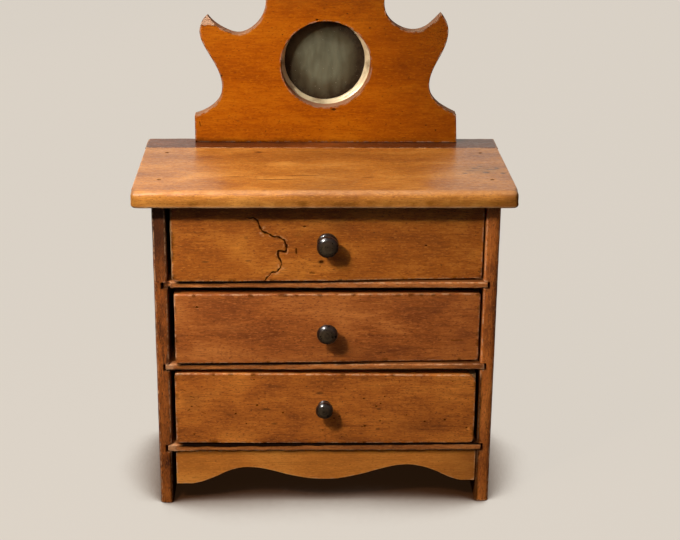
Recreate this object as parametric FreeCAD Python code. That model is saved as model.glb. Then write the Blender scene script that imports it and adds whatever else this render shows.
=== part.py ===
"""Miniature chest of drawers with a mirror back: three drawers between plain board sides.

Every board, knob, nail group and mirror layer is its own solid and its own STEP file.
Millimetres. X runs to the viewer's right, the drawers pull out towards -Y and +Z is up.
The origin is on the ground, under the middle of the whole outline.
"""
import FreeCAD, Part
import math
import os
from collections import namedtuple

V = FreeCAD.Vector

# ---- driving dimensions: top ----
TOP_WIDTH = 230.0
TOP_DEPTH = 125.2
TOP_THICK = 10.4
TOP_HEIGHT = 211.0          # upper surface above the ground
TOP_NOSE_ROUND = 4.6        # broad round along the upper front edge
TOP_LIP_ROUND = 1.4         # tight round along the lower front edge
TOP_END_ROUND = 1.8         # softened edges at the two ends
STRIP_DEPTH = 24.4          # separate rear board of the top, under the mirror panel

# ---- driving dimensions: body ----
FRONT_OVERHANG = 11.4       # top beyond the front edges of the sides
LEFT_THICK = 8.4
RIGHT_THICK = 9.0           # the right board is a little stouter
SIDE_OUTER_ROUND = 3.8      # half-round front edges, tighter inside than outside
SIDE_INNER_ROUND = 2.4
OPENING_WIDTH = 193.2       # between the sides
BODY_SHIFT = 0.9            # the body sits a little to the right under the top
# (lower face, upper face) of the bottom board, the lower divider and the upper divider
SHELVES = ((36.2, 40.8), (91.9, 95.9), (146.0, 150.0))
SHELF_NOSE_ROUND = 1.5
DADO_DEPTH = 3.7            # slots in the sides for the shelf boards
SHELF_END_GAP = 1.0         # each board stops short of the slot's end
BACK_THICK = 4.5
BACK_FOOT = 30.0            # lower edge of the back board above the ground

# ---- driving dimensions: apron ----
APRON_THICK = 5.5
APRON_SETBACK = 1.5         # behind the front edges of the sides
APRON_LEFT = -93.5
APRON_RIGHT = 97.2
# the sawn lower edge, (x, z): two unequal arches with a low point between them
APRON_EDGE = (
    (-84.0, 12.9), (-77.2, 14.3), (-65.6, 19.4), (-55.5, 23.5), (-47.0, 24.3), (-37.0, 23.0),
    (-23.5, 19.2), (-11.0, 16.6), (1.5, 15.5), (14.9, 16.9), (30.2, 20.8), (42.0, 24.2),
    (52.6, 25.7), (62.0, 24.5), (72.5, 20.7), (80.3, 16.8), (88.2, 14.2))
GLUE_BLOCK = 8.0
GLUE_BLOCK_LENGTH = 22.0

# ---- driving dimensions: drawers ----
FACE_SETBACK = 1.0          # drawer faces behind the front edges of the sides
FACE_THICK = 8.0
FACE_EDGE_ROUND = 0.9
DRAWER_LENGTH = 106.0
DRAWER_SIDE_THICK = 4.0
REBATE_DEPTH = 4.5          # the drawer sides lap this far onto the back of the face
SIDE_DROP = 2.5             # drawer sides are lower than the face by this much
RUN_CLEAR = 0.15            # under and beside a running drawer
PLY_THICK = 2.5             # drawer bottom
PLY_RISE = 3.0              # drawer bottom above the drawer's lower edge
GROOVE_DEPTH = 1.5
TENON_R = 2.3
BRAD_SINK = 0.1             # heads of the brads under the surface of the drawer sides
BRAD_ROWS = (0.3, 0.75)     # heights of the brads, as shares of the drawer's height
# shelf: which board it runs on; corner: radius worn onto the face's upper right corner;
# knob_z: knob above the drawer's lower edge; foot_r: radius of the knob's foot
Drawer = namedtuple(
    "Drawer", "name shelf left right height corner knob_x knob_z knob_r knob_length foot_r")
DRAWERS = (
    Drawer("upper", 2, -93.4, 96.7, 49.0, 1.5, 1.7, 24.7, 6.7, 11.0, 6.2),
    Drawer("middle", 1, -92.1, 96.4, 47.4, 1.5, 1.8, 22.1, 6.5, 10.6, 3.6),
    Drawer("lower", 0, -93.0, 95.6, 48.8, 6.5, 0.4, 26.0, 5.6, 10.2, 4.2),
)
KNOB_FOOT_RISE = 0.10       # edge of the knob's foot, as a share of its length
KNOB_WAIST_RISE = 0.26
# the turned head from waist to centre: share of the knob's radius, share of its length
KNOB_HEAD = ((0.60, 0.38), (0.90, 0.50), (1.0, 0.66), (0.95, 0.82), (0.78, 0.93),
             (0.66, 0.92), (0.56, 0.97), (0.24, 0.95), (0.18, 1.0), (0, 1.0))

# ---- driving dimensions: mirror panel ----
PANEL_THICK = 10.6
PANEL_SHIFT = 2.9           # centre of the panel to the right of the top's centre
PANEL_HALF_BASE = 86.3
MIRROR_X = -0.5             # from the centre of the panel
MIRROR_Z = 51.5             # above the top
HOLE_R = 29.2
RIM_RISE = 1.0              # the mirror hangs a little high behind its hole
RIM_R = 31.3
RIM_OPENING_R = 25.6
RIM_WALL = 0.7
# the rolled face of the rim, front to back: width beyond the opening, depth
RIM_FACE = ((4.3, 0), (2.6, 0.6), (1.0, 2.0), (0, 2.6))
GLASS_SEAT = 3.0            # front of the glass behind the back of the panel
GLASS_THICK = 1.6
BACKING_THICK = 0.6
TACK_R = 0.5
TACK_BITE = 6.0             # length of each tack inside the panel
TACK_HEAD_R = 1.7
TACK_HEAD_THICK = 0.6
TACK_CLEAR = 0.2            # between the rim and the shanks of the tacks
DOWEL_R = 2.2
DOWEL_SPREAD = 58.0         # half the distance between the two dowels
DOWEL_UP = 12.0
DOWEL_DOWN = 8.5

# ---- driving dimensions: nails ----
TOP_NAIL_R = 1.1
TOP_NAIL_LENGTH = 22.0
TOP_NAIL_SINK = 0.3         # heads under the surface of the top
TOP_NAIL_HEAD = 1.2         # length of the thicker head
BACK_NAIL_R = 0.7
BACK_NAIL_LENGTH = 12.0
BACK_NAIL_SINK = 0.2
PIN_R = 0.6
PIN_LENGTH = 9.0

# ---- derived places ----
MIRROR_DEPTH = GLASS_SEAT + GLASS_THICK + BACKING_THICK
TOTAL_DEPTH = TOP_DEPTH + MIRROR_DEPTH + TACK_HEAD_THICK
TOP_FRONT = -TOTAL_DEPTH / 2
TOP_BACK = TOP_FRONT + TOP_DEPTH
TOP_UNDER = TOP_HEIGHT - TOP_THICK
BODY_FRONT = TOP_FRONT + FRONT_OVERHANG
BODY_BACK = TOP_BACK - BACK_THICK
INNER_LEFT = BODY_SHIFT - OPENING_WIDTH / 2
INNER_RIGHT = BODY_SHIFT + OPENING_WIDTH / 2
OUTER_LEFT = INNER_LEFT - LEFT_THICK
OUTER_RIGHT = INNER_RIGHT + RIGHT_THICK
SIDE_MIDDLES = (OUTER_LEFT + LEFT_THICK / 2, OUTER_RIGHT - RIGHT_THICK / 2)
FACE_FRONT = BODY_FRONT + FACE_SETBACK
PANEL_FRONT = TOP_BACK - PANEL_THICK
MIRROR_CENTRE = V(PANEL_SHIFT + MIRROR_X, 0, TOP_HEIGHT + MIRROR_Z)
DOWEL_Y = TOP_BACK - PANEL_THICK / 2
X_AXIS = V(1, 0, 0)
Y_AXIS = V(0, 1, 0)
Z_AXIS = V(0, 0, 1)


# ---- helpers ----
def block(x, y, z):
    """A box from its (low, high) pair along each axis."""
    return Part.makeBox(x[1] - x[0], y[1] - y[0], z[1] - z[0], V(x[0], y[0], z[0]))


def rod(radius, length, start, direction):
    return Part.makeCylinder(radius, length, start, direction)


def edges_where(shape, test):
    """The straight edges of a shape whose two ends both pass a test."""
    ends = [(e, [v.Point for v in e.Vertexes]) for e in shape.Edges if len(e.Vertexes) == 2]
    return [e for e, points in ends if all(test(p) for p in points)]


def near(value, target):
    return abs(value - target) < 1e-4


def along_x(z, y):
    """A test for edges that run along X at this height and depth."""
    return lambda p: near(p.z, z) and near(p.y, y)


def straight(x0, z0, x1, z1, y):
    return Part.LineSegment(V(x0, y, z0), V(x1, y, z1)).toShape()


def smooth(points, y):
    """A smooth curve through (x, z) points in the plane at this Y."""
    curve = Part.BSplineCurve()
    curve.interpolate([V(x, y, z) for x, z in points])
    return curve.toShape()


def export(name, shape):
    if shape.ShapeType == "Compound" and len(shape.Solids) == 1:
        shape = shape.Solids[0]
    shape.exportStep(f"parts/{name}.step")


# ---- top ----
def top_nail_places():
    """(x, y) of the four nails through the top into the upper edges of the sides."""
    rows = (BODY_FRONT + 15.0, BODY_FRONT + 77.0)
    return [(x, y) for x in SIDE_MIDDLES for y in rows]


def top_nails():
    """Plain nails, their heads just under the surface of the top."""
    nails = []
    foot = TOP_HEIGHT - TOP_NAIL_SINK - TOP_NAIL_LENGTH
    shank = TOP_NAIL_LENGTH - TOP_NAIL_HEAD
    for x, y in top_nail_places():
        pin = rod(TOP_NAIL_R * 0.7, shank, V(x, y, foot), Z_AXIS)
        head = rod(TOP_NAIL_R, TOP_NAIL_HEAD, V(x, y, foot + shank), Z_AXIS)
        nails.append(pin.fuse(head))
    return Part.makeCompound(nails)


def top_blank():
    """The whole top before it is parted into its two boards."""
    half = TOP_WIDTH / 2
    top = block((-half, half), (TOP_FRONT, TOP_BACK), (TOP_UNDER, TOP_HEIGHT))
    top = top.makeFillet(TOP_NOSE_ROUND, edges_where(top, along_x(TOP_HEIGHT, TOP_FRONT)))
    top = top.makeFillet(TOP_LIP_ROUND, edges_where(top, along_x(TOP_UNDER, TOP_FRONT)))
    ends = [e for e in top.Edges if near(abs(e.CenterOfMass.x), half)
            and not near(e.CenterOfMass.y, TOP_BACK)]
    return top.makeFillet(TOP_END_ROUND, ends)


def dowels():
    """Two dowels that stand the mirror panel on the rear board of the top."""
    foot = TOP_HEIGHT - DOWEL_DOWN
    places = [PANEL_SHIFT - DOWEL_SPREAD, PANEL_SHIFT + DOWEL_SPREAD]
    pins = [rod(DOWEL_R, DOWEL_UP + DOWEL_DOWN, V(x, DOWEL_Y, foot), Z_AXIS) for x in places]
    return Part.makeCompound(pins)


# ---- body ----
def side(is_left):
    """A side board with a half-round front edge and three slots for the shelves."""
    inner, outer = (INNER_LEFT, OUTER_LEFT) if is_left else (INNER_RIGHT, OUTER_RIGHT)
    low, high = min(inner, outer), max(inner, outer)
    board = block((low, high), (BODY_FRONT, BODY_BACK), (0, TOP_UNDER))
    for x, radius in ((inner, SIDE_INNER_ROUND), (outer, SIDE_OUTER_ROUND)):
        arris = edges_where(board, lambda p: near(p.y, BODY_FRONT) and near(p.x, x))
        board = board.makeFillet(radius, arris)
    reach = -DADO_DEPTH if is_left else DADO_DEPTH
    slot = (min(inner, inner + reach), max(inner, inner + reach))
    for z in SHELVES:
        board = board.cut(block(slot, (BODY_FRONT, BODY_BACK), z))
    return board


def shelf(z):
    """A full-depth board that lies in the slots of both sides, its front edge rounded."""
    x = (INNER_LEFT - DADO_DEPTH + SHELF_END_GAP, INNER_RIGHT + DADO_DEPTH - SHELF_END_GAP)
    board = block(x, (BODY_FRONT, BODY_BACK), z)
    nose = edges_where(board, along_x(z[0], BODY_FRONT))
    nose += edges_where(board, along_x(z[1], BODY_FRONT))
    return board.makeFillet(SHELF_NOSE_ROUND, nose)


def apron():
    """The board under the bottom shelf, its lower edge sawn into two unequal arches."""
    y = BODY_FRONT + APRON_SETBACK
    top = SHELVES[0][0]
    first, last = APRON_EDGE[0], APRON_EDGE[-1]
    edges = [smooth(APRON_EDGE, y)]
    edges.append(straight(*last, APRON_RIGHT, last[1], y))
    edges.append(straight(APRON_RIGHT, last[1], APRON_RIGHT, top, y))
    edges.append(straight(APRON_RIGHT, top, APRON_LEFT, top, y))
    edges.append(straight(APRON_LEFT, top, APRON_LEFT, first[1], y))
    edges.append(straight(APRON_LEFT, first[1], *first, y))
    return Part.Face(Part.Wire(edges)).extrude(V(0, APRON_THICK, 0))


def glue_blocks():
    """Three square blocks in the corner between the apron and the bottom board."""
    y = BODY_FRONT + APRON_SETBACK + APRON_THICK
    top = SHELVES[0][0]
    middle = (APRON_LEFT + APRON_RIGHT) / 2
    inset = GLUE_BLOCK_LENGTH / 2 + 8.0
    blocks = []
    for x in (APRON_LEFT + inset, middle, APRON_RIGHT - inset):
        span = (x - GLUE_BLOCK_LENGTH / 2, x + GLUE_BLOCK_LENGTH / 2)
        blocks.append(block(span, (y, y + GLUE_BLOCK), (top - GLUE_BLOCK, top)))
    return Part.makeCompound(blocks)


def back_board():
    return block((OUTER_LEFT, OUTER_RIGHT), (BODY_BACK, TOP_BACK), (BACK_FOOT, TOP_UNDER))


def back_nails():
    """Nails through the back board into the rear edges of the sides."""
    start = TOP_BACK - BACK_NAIL_SINK
    rows = [BACK_FOOT + 12 + i * (TOP_UNDER - BACK_FOOT - 24) / 3 for i in range(4)]
    nails = [rod(BACK_NAIL_R, BACK_NAIL_LENGTH, V(x, start, z), -Y_AXIS)
             for x in SIDE_MIDDLES for z in rows]
    return Part.makeCompound(nails)


# ---- drawers ----
def drawer_parts(d):
    """One drawer: lapped face, two sides, back, bottom, turned knob and its brads."""
    floor = SHELVES[d.shelf][1] + RUN_CLEAR
    top = floor + d.height
    side_top = top - SIDE_DROP
    rear = FACE_FRONT + DRAWER_LENGTH
    face_back = FACE_FRONT + FACE_THICK
    side_front = face_back - REBATE_DEPTH
    inside = (d.left + DRAWER_SIDE_THICK, d.right - DRAWER_SIDE_THICK)
    ply = (floor + PLY_RISE, floor + PLY_RISE + PLY_THICK)
    tongue = block(inside, (face_back - GROOVE_DEPTH, face_back), ply)
    knob_foot = V(d.knob_x, FACE_FRONT, floor + d.knob_z)
    brads = drawer_brads(d, floor, side_front, rear)

    face = drawer_face(d, floor, top).cut(tongue).cut(brads)
    face = face.cut(rod(TENON_R, FACE_THICK, knob_foot, Y_AXIS))
    groove = (inside[0] - GROOVE_DEPTH, inside[1] + GROOVE_DEPTH)
    bottom = block(groove, (face_back, rear), ply).fuse(tongue).removeSplitter()
    left_side = block((d.left, inside[0]), (side_front, rear), (floor, side_top))
    right_side = block((inside[1], d.right), (side_front, rear), (floor, side_top))
    back = block(inside, (rear - DRAWER_SIDE_THICK, rear), (ply[1], side_top))
    return {
        "drawer_face": face,
        "drawer_left_side": left_side.cut(bottom).cut(brads),
        "drawer_right_side": right_side.cut(bottom).cut(brads),
        "drawer_back": back.cut(brads),
        "drawer_bottom": bottom,
        "drawer_knob": knob(d, knob_foot),
        "drawer_brads": brads,
    }


def drawer_face(d, floor, top):
    """The face board, softened all round, with rebates behind its ends for the sides."""
    back = FACE_FRONT + FACE_THICK
    face = block((d.left, d.right), (FACE_FRONT, back), (floor, top))
    worn = edges_where(face, lambda p: near(p.x, d.right) and near(p.z, top))
    face = face.makeFillet(d.corner, worn)
    front_edges = [e for e in face.Edges if near(e.BoundBox.YMax, FACE_FRONT)]
    face = face.makeFillet(FACE_EDGE_ROUND, front_edges)
    rebate = (back - REBATE_DEPTH, back)
    for ends in ((d.left, d.left + DRAWER_SIDE_THICK), (d.right - DRAWER_SIDE_THICK, d.right)):
        face = face.cut(block(ends, rebate, (floor, top)))
    return face


def drawer_brads(d, floor, side_front, rear):
    """Two brads through each end of each drawer side, into the face and into the back."""
    brads = []
    for x, direction in ((d.left + BRAD_SINK, X_AXIS), (d.right - BRAD_SINK, -X_AXIS)):
        for y in (side_front + REBATE_DEPTH / 2, rear - DRAWER_SIDE_THICK / 2):
            for share in BRAD_ROWS:
                foot = V(x, y, floor + share * d.height)
                brads.append(rod(PIN_R, PIN_LENGTH, foot, direction))
    return Part.makeCompound(brads)


def knob(d, foot):
    """A turned knob: tenon, round foot, waist and a domed head with a ring and a centre."""
    r, length = d.knob_r, d.knob_length
    waist = min(0.56 * r, 0.9 * d.foot_r)
    points = [V(0, FACE_THICK, 0), V(TENON_R, FACE_THICK, 0), V(TENON_R, 0, 0)]
    points += [V(d.foot_r, 0, 0), V(d.foot_r, -KNOB_FOOT_RISE * length, 0)]
    points += [V(waist, -KNOB_WAIST_RISE * length, 0)]
    points += [V(share * r, -depth * length, 0) for share, depth in KNOB_HEAD]
    turned = Part.Face(Part.makePolygon(points + points[:1])).revolve(V(0, 0, 0), Y_AXIS, 360)
    turned.translate(foot)
    return turned


# ---- mirror panel ----
def panel_outline(y):
    """The scroll-sawn outline: square shoulders, hollow waist, two horns and a crest."""
    half = PANEL_HALF_BASE
    left_waist = [(-half, 17.7), (-77.2, 21.6), (-70.2, 28.4), (-68.1, 38.0), (-71.6, 50.4),
                  (-79.0, 63.6), (-81.9, 71.6), (-76.9, 82.9)]
    left_hollow = [(-76.9, 82.9), (-72.2, 78.0), (-65.5, 73.9), (-57.0, 71.5), (-48.3, 75.0),
                   (-41.7, 82.6), (-39.3, 92.5)]
    right_waist = [(half - 0.9, 18.8), (78.2, 22.6), (71.6, 27.8), (67.3, 36.9), (70.4, 51.2),
                   (77.0, 65.2), (78.5, 74.6), (73.9, 84.8)]
    right_hollow = [(73.9, 84.8), (70.1, 80.9), (63.5, 75.5), (55.8, 73.7), (46.7, 76.3),
                    (39.9, 82.2), (36.8, 92.5)]
    crest = [(-44.5, 104.0), (-36.0, 105.6), (-20.0, 113.4), (-1.3, 118.0), (17.4, 113.4),
             (33.4, 105.6), (41.9, 104.0)]
    left_ear = [left_hollow[-1], (-40.3, 98.6), crest[0]]
    right_ear = [right_hollow[-1], (37.7, 98.6), crest[-1]]

    def place(points):
        return [(x + PANEL_SHIFT, z + TOP_HEIGHT) for x, z in points]

    stretches = [left_waist, left_hollow + left_ear[1:], crest,
                 (right_hollow + right_ear[1:])[::-1], right_waist[::-1]]
    edges = [smooth(place(points), y) for points in stretches]
    low_left = (PANEL_SHIFT - half, TOP_HEIGHT)
    low_right = (PANEL_SHIFT + half, TOP_HEIGHT)
    edges.append(straight(*low_right, *low_left, y))
    edges.append(straight(*low_left, *place(left_waist)[0], y))
    edges.append(straight(*place(right_waist)[0], *low_right, y))
    return Part.Wire(Part.__sortEdges__(edges))


def mirror_panel():
    """The sawn panel with a plain round hole for the mirror behind it."""
    panel = Part.Face(panel_outline(PANEL_FRONT)).extrude(V(0, PANEL_THICK, 0))
    return panel.cut(rod(HOLE_R, PANEL_THICK, MIRROR_CENTRE + V(0, PANEL_FRONT, 0), Y_AXIS))


def mirror_rim():
    """A pressed metal rim: a funnel towards the glass and a wall round its edge."""
    wall_r = RIM_R - RIM_WALL
    profile = [(RIM_R, 0), (RIM_R, MIRROR_DEPTH), (wall_r, MIRROR_DEPTH), (wall_r, GLASS_SEAT),
               (RIM_OPENING_R, GLASS_SEAT)]
    profile += [(RIM_OPENING_R + width, depth) for width, depth in RIM_FACE[::-1]]
    points = [V(r, y, 0) for r, y in profile]
    return Part.Face(Part.makePolygon(points + points[:1])).revolve(V(0, 0, 0), Y_AXIS, 360)


def mirror_layers():
    """Rim, glass and backing disc against the back of the panel."""
    centre = MIRROR_CENTRE + V(0, TOP_BACK, RIM_RISE)
    rim = mirror_rim()
    rim.translate(centre)
    radius = RIM_R - RIM_WALL
    glass = rod(radius, GLASS_THICK, centre + V(0, GLASS_SEAT, 0), Y_AXIS)
    backing_start = centre + V(0, GLASS_SEAT + GLASS_THICK, 0)
    return rim, glass, rod(radius, BACKING_THICK, backing_start, Y_AXIS)


def mirror_tacks():
    """Four tacks beside the rim, driven into the panel, whose heads hold the mirror on."""
    reach = RIM_R + TACK_R + TACK_CLEAR
    length = TACK_BITE + MIRROR_DEPTH
    tacks = []
    for degrees in (45, 135, 225, 315):
        angle = math.radians(degrees)
        foot = MIRROR_CENTRE + V(reach * math.cos(angle), 0, RIM_RISE + reach * math.sin(angle))
        shank = rod(TACK_R, length, foot + V(0, TOP_BACK - TACK_BITE, 0), Y_AXIS)
        head_start = foot + V(0, TOP_BACK + MIRROR_DEPTH, 0)
        tacks.append(shank.fuse(rod(TACK_HEAD_R, TACK_HEAD_THICK, head_start, Y_AXIS)))
    return Part.makeCompound(tacks)


# ---- the assembly ----
def main():
    os.makedirs("parts", exist_ok=True)

    nails, pegs, brads = top_nails(), dowels(), back_nails()
    top = top_blank().cut(nails)
    joint = TOP_BACK - STRIP_DEPTH
    wide, tall = TOP_WIDTH, (TOP_UNDER - 1, TOP_HEIGHT + 1)
    front_half = block((-wide, wide), (TOP_FRONT - 1, joint), tall)
    rear_half = block((-wide, wide), (joint, TOP_BACK + 1), tall)
    export("top_board", top.common(front_half))
    export("top_rear_strip", top.common(rear_half).cut(pegs))
    export("top_nails", nails)

    back = back_board().cut(brads)
    export("left_side", side(True).cut(nails).cut(brads))
    export("right_side", side(False).cut(nails).cut(brads))
    export("back_board", back)
    export("back_nails", brads)
    for name, z in zip(("bottom_board", "lower_divider", "upper_divider"), SHELVES):
        export(name, shelf(z))
    export("apron", apron())
    export("apron_glue_blocks", glue_blocks())

    rim, glass, backing = mirror_layers()
    tacks = mirror_tacks()
    export("mirror_panel", mirror_panel().cut(pegs).cut(tacks))
    export("panel_dowels", pegs)
    export("mirror_rim", rim)
    export("mirror_glass", glass)
    export("mirror_backing", backing)
    export("mirror_tacks", tacks)

    for drawer in DRAWERS:
        for piece, shape in drawer_parts(drawer).items():
            export(f"{drawer.name}_{piece}", shape)


main()
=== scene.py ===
"""Looks of the miniature chest of drawers: worn, varnished boards, turned knobs and an old mirror.

Every board is rebuilt as a fine mesh inside its own CAD box, with rounded, uneven arrises, dents,
cracks and nail holes, and each vertex carries three layers that the materials read: "edge", the
distance to the nearest arris in millimetres, "grime", the dirt in cracks, holes and joints and the
painted shade under the bottom board and on the shelves below the drawers, and "bare", where the
varnish is chipped away and where highlights and reflections are painted pale.
"""

import itertools
import math

import bmesh
import bpy
import numpy as np
from mathutils import Matrix, Vector
from mathutils.bvhtree import BVHTree
from mathutils.geometry import delaunay_2d_cdt


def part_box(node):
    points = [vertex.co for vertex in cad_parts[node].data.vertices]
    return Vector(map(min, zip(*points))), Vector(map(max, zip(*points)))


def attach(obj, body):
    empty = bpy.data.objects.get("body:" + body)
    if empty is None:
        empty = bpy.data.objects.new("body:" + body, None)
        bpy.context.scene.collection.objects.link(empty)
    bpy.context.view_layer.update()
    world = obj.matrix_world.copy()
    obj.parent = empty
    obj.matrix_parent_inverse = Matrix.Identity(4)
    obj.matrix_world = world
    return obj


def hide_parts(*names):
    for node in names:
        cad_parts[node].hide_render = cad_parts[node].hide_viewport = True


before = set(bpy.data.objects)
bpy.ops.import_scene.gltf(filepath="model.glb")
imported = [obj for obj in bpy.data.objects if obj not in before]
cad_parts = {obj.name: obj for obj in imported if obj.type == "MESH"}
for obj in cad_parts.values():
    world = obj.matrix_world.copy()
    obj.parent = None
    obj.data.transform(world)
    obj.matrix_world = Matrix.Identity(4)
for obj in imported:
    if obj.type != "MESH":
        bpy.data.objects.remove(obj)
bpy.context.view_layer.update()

MM = 0.001
ROUND_CUTS = 4           # grid lines inside each rounded edge
FAR_FROM_EDGE = 20.0     # "edge" value, in millimetres, of a point with no arris near it


# ---- camera, light and floor ----
def make_camera():
    """A long lens in front of the chest, a little left of its middle and looking down."""
    pitch, yaw, roll = (math.radians(angle) for angle in (19.53, 1.875, -0.546))
    forward = Vector((math.sin(yaw) * math.cos(pitch), math.cos(yaw) * math.cos(pitch),
                      -math.sin(pitch)))
    level = Vector((math.cos(yaw), -math.sin(yaw), 0))
    down = forward.cross(level)
    right = math.cos(roll) * level + math.sin(roll) * down
    up = math.sin(roll) * level - math.cos(roll) * down
    camera = bpy.data.cameras.new("camera")
    camera.sensor_width = 36
    camera.lens = 80.15
    camera.clip_start = 0.05
    holder = bpy.data.objects.new("camera", camera)
    holder.matrix_world = Matrix((right, up, -forward)).transposed().to_4x4()
    holder.location = (-0.0190, -0.9215, 0.4660)
    bpy.context.scene.collection.objects.link(holder)
    bpy.context.scene.camera = holder


def area_light(name, target, direction, distance, size, power, colour):
    """A square soft light that shines on a point from this direction."""
    light = bpy.data.lights.new(name, "AREA")
    light.shape = "SQUARE"
    light.size = size
    light.energy = power
    light.color = colour
    holder = bpy.data.objects.new(name, light)
    towards = Vector(direction).normalized()
    holder.location = target + distance * towards
    holder.rotation_mode = "QUATERNION"
    holder.rotation_quaternion = towards.to_track_quat("Z", "Y")
    bpy.context.scene.collection.objects.link(holder)
    return holder


def make_lights():
    """A small key lamp at the left in front, close enough to fall off across the chest, a wide,
    soft one above it, and weak fills that show in no varnish."""
    low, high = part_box("upper_drawer_knob")
    knob_centre = (low + high) / 2
    area_light("key", knob_centre, (-0.48, -0.62, 0.62), 0.46, 0.05, 1.75, (1.0, 0.95, 0.88))
    area_light("overhead", knob_centre, (-0.55, -0.40, 0.74), 0.58, 0.31, 2.9, (1.0, 0.96, 0.92))
    for name, direction, power in (("fill", (0.1, -0.92, 0.38), 1.1), ("right", (0.93, 0.25, 0.3), 1.6),
                                   ("behind", (-0.3, 0.9, 0.35), 3.0)):
        lamp = area_light(name, knob_centre, direction, 1.3, 1.0, power, (1.0, 0.94, 0.86))
        lamp.visible_glossy = False


def make_world():
    """Weak even light, most of it from above the horizon."""
    world = bpy.data.worlds.new("studio")
    world.use_nodes = True
    tree = world.node_tree
    background = tree.nodes["Background"]
    direction = tree.nodes.new("ShaderNodeTexCoord")
    parts = tree.nodes.new("ShaderNodeSeparateXYZ")
    height = tree.nodes.new("ShaderNodeMapRange")
    for key, value in (("From Min", -0.1), ("From Max", 0.6), ("To Min", 0.02), ("To Max", 0.2)):
        height.inputs[key].default_value = value
    tree.links.new(direction.outputs["Generated"], parts.inputs[0])
    tree.links.new(parts.outputs["Z"], height.inputs["Value"])
    tree.links.new(height.outputs[0], background.inputs["Strength"])
    background.inputs["Color"].default_value = (1.0, 0.95, 0.88, 1)
    bpy.context.scene.world = world


def make_floor():
    """A pale floor, a backdrop of the same paper curving up behind the chest, and a round wall of
    it further out, which the other sides are seen against.

    None of it throws light back onto the chest, and only the backdrop shows in its varnish.
    """
    half_width, front, bend_start, bend, height = 3.5, -4.0, 1.0, 1.0, 4.0
    rise = [(bend * math.sin(t), bend - bend * math.cos(t)) for t in np.linspace(0, math.pi / 2, 17)]
    rise.append((bend, height))
    along = (-half_width, half_width)
    floor = [[(x, y, 0.0) for x in along] for y in (front, 0.3, bend_start)]
    backdrop = [[(x, bend_start + out, up) for x in along] for out, up in rise]
    turns = np.linspace(0, math.tau, 97)
    wall = [[((half_width - bend + out) * math.cos(t), (half_width - bend + out) * math.sin(t),
              up - 2 * MM) for t in turns] for out, up in rise]
    paper = floor_material()
    for name, rows in (("floor", floor), ("backdrop", backdrop), ("wall", wall)):
        wide = len(rows[0])
        faces = [(i * wide + j, i * wide + j + 1, (i + 1) * wide + j + 1, (i + 1) * wide + j)
                 for i in range(len(rows) - 1) for j in range(wide - 1)]
        mesh = bpy.data.meshes.new(name)
        mesh.from_pydata(list(itertools.chain(*rows)), [], faces)
        mesh.shade_smooth()
        mesh.materials.append(paper)
        sheet = bpy.data.objects.new(name, mesh)
        bpy.context.scene.collection.objects.link(sheet)
        sheet.visible_diffuse = False
        sheet.visible_glossy = name == "backdrop"
        sheet.visible_shadow = name != "wall"


# ---- shader helpers ----
def linear(red, green, blue):
    """A colour given in the usual 0 to 255 scale, as the shader wants it."""
    channels = [c / 255 for c in (red, green, blue)]
    return tuple(c / 12.92 if c <= 0.04045 else ((c + 0.055) / 1.055) ** 2.4
                 for c in channels) + (1.0,)


def tones(*colours):
    """Several such colours."""
    return [linear(*colour) for colour in colours]


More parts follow.
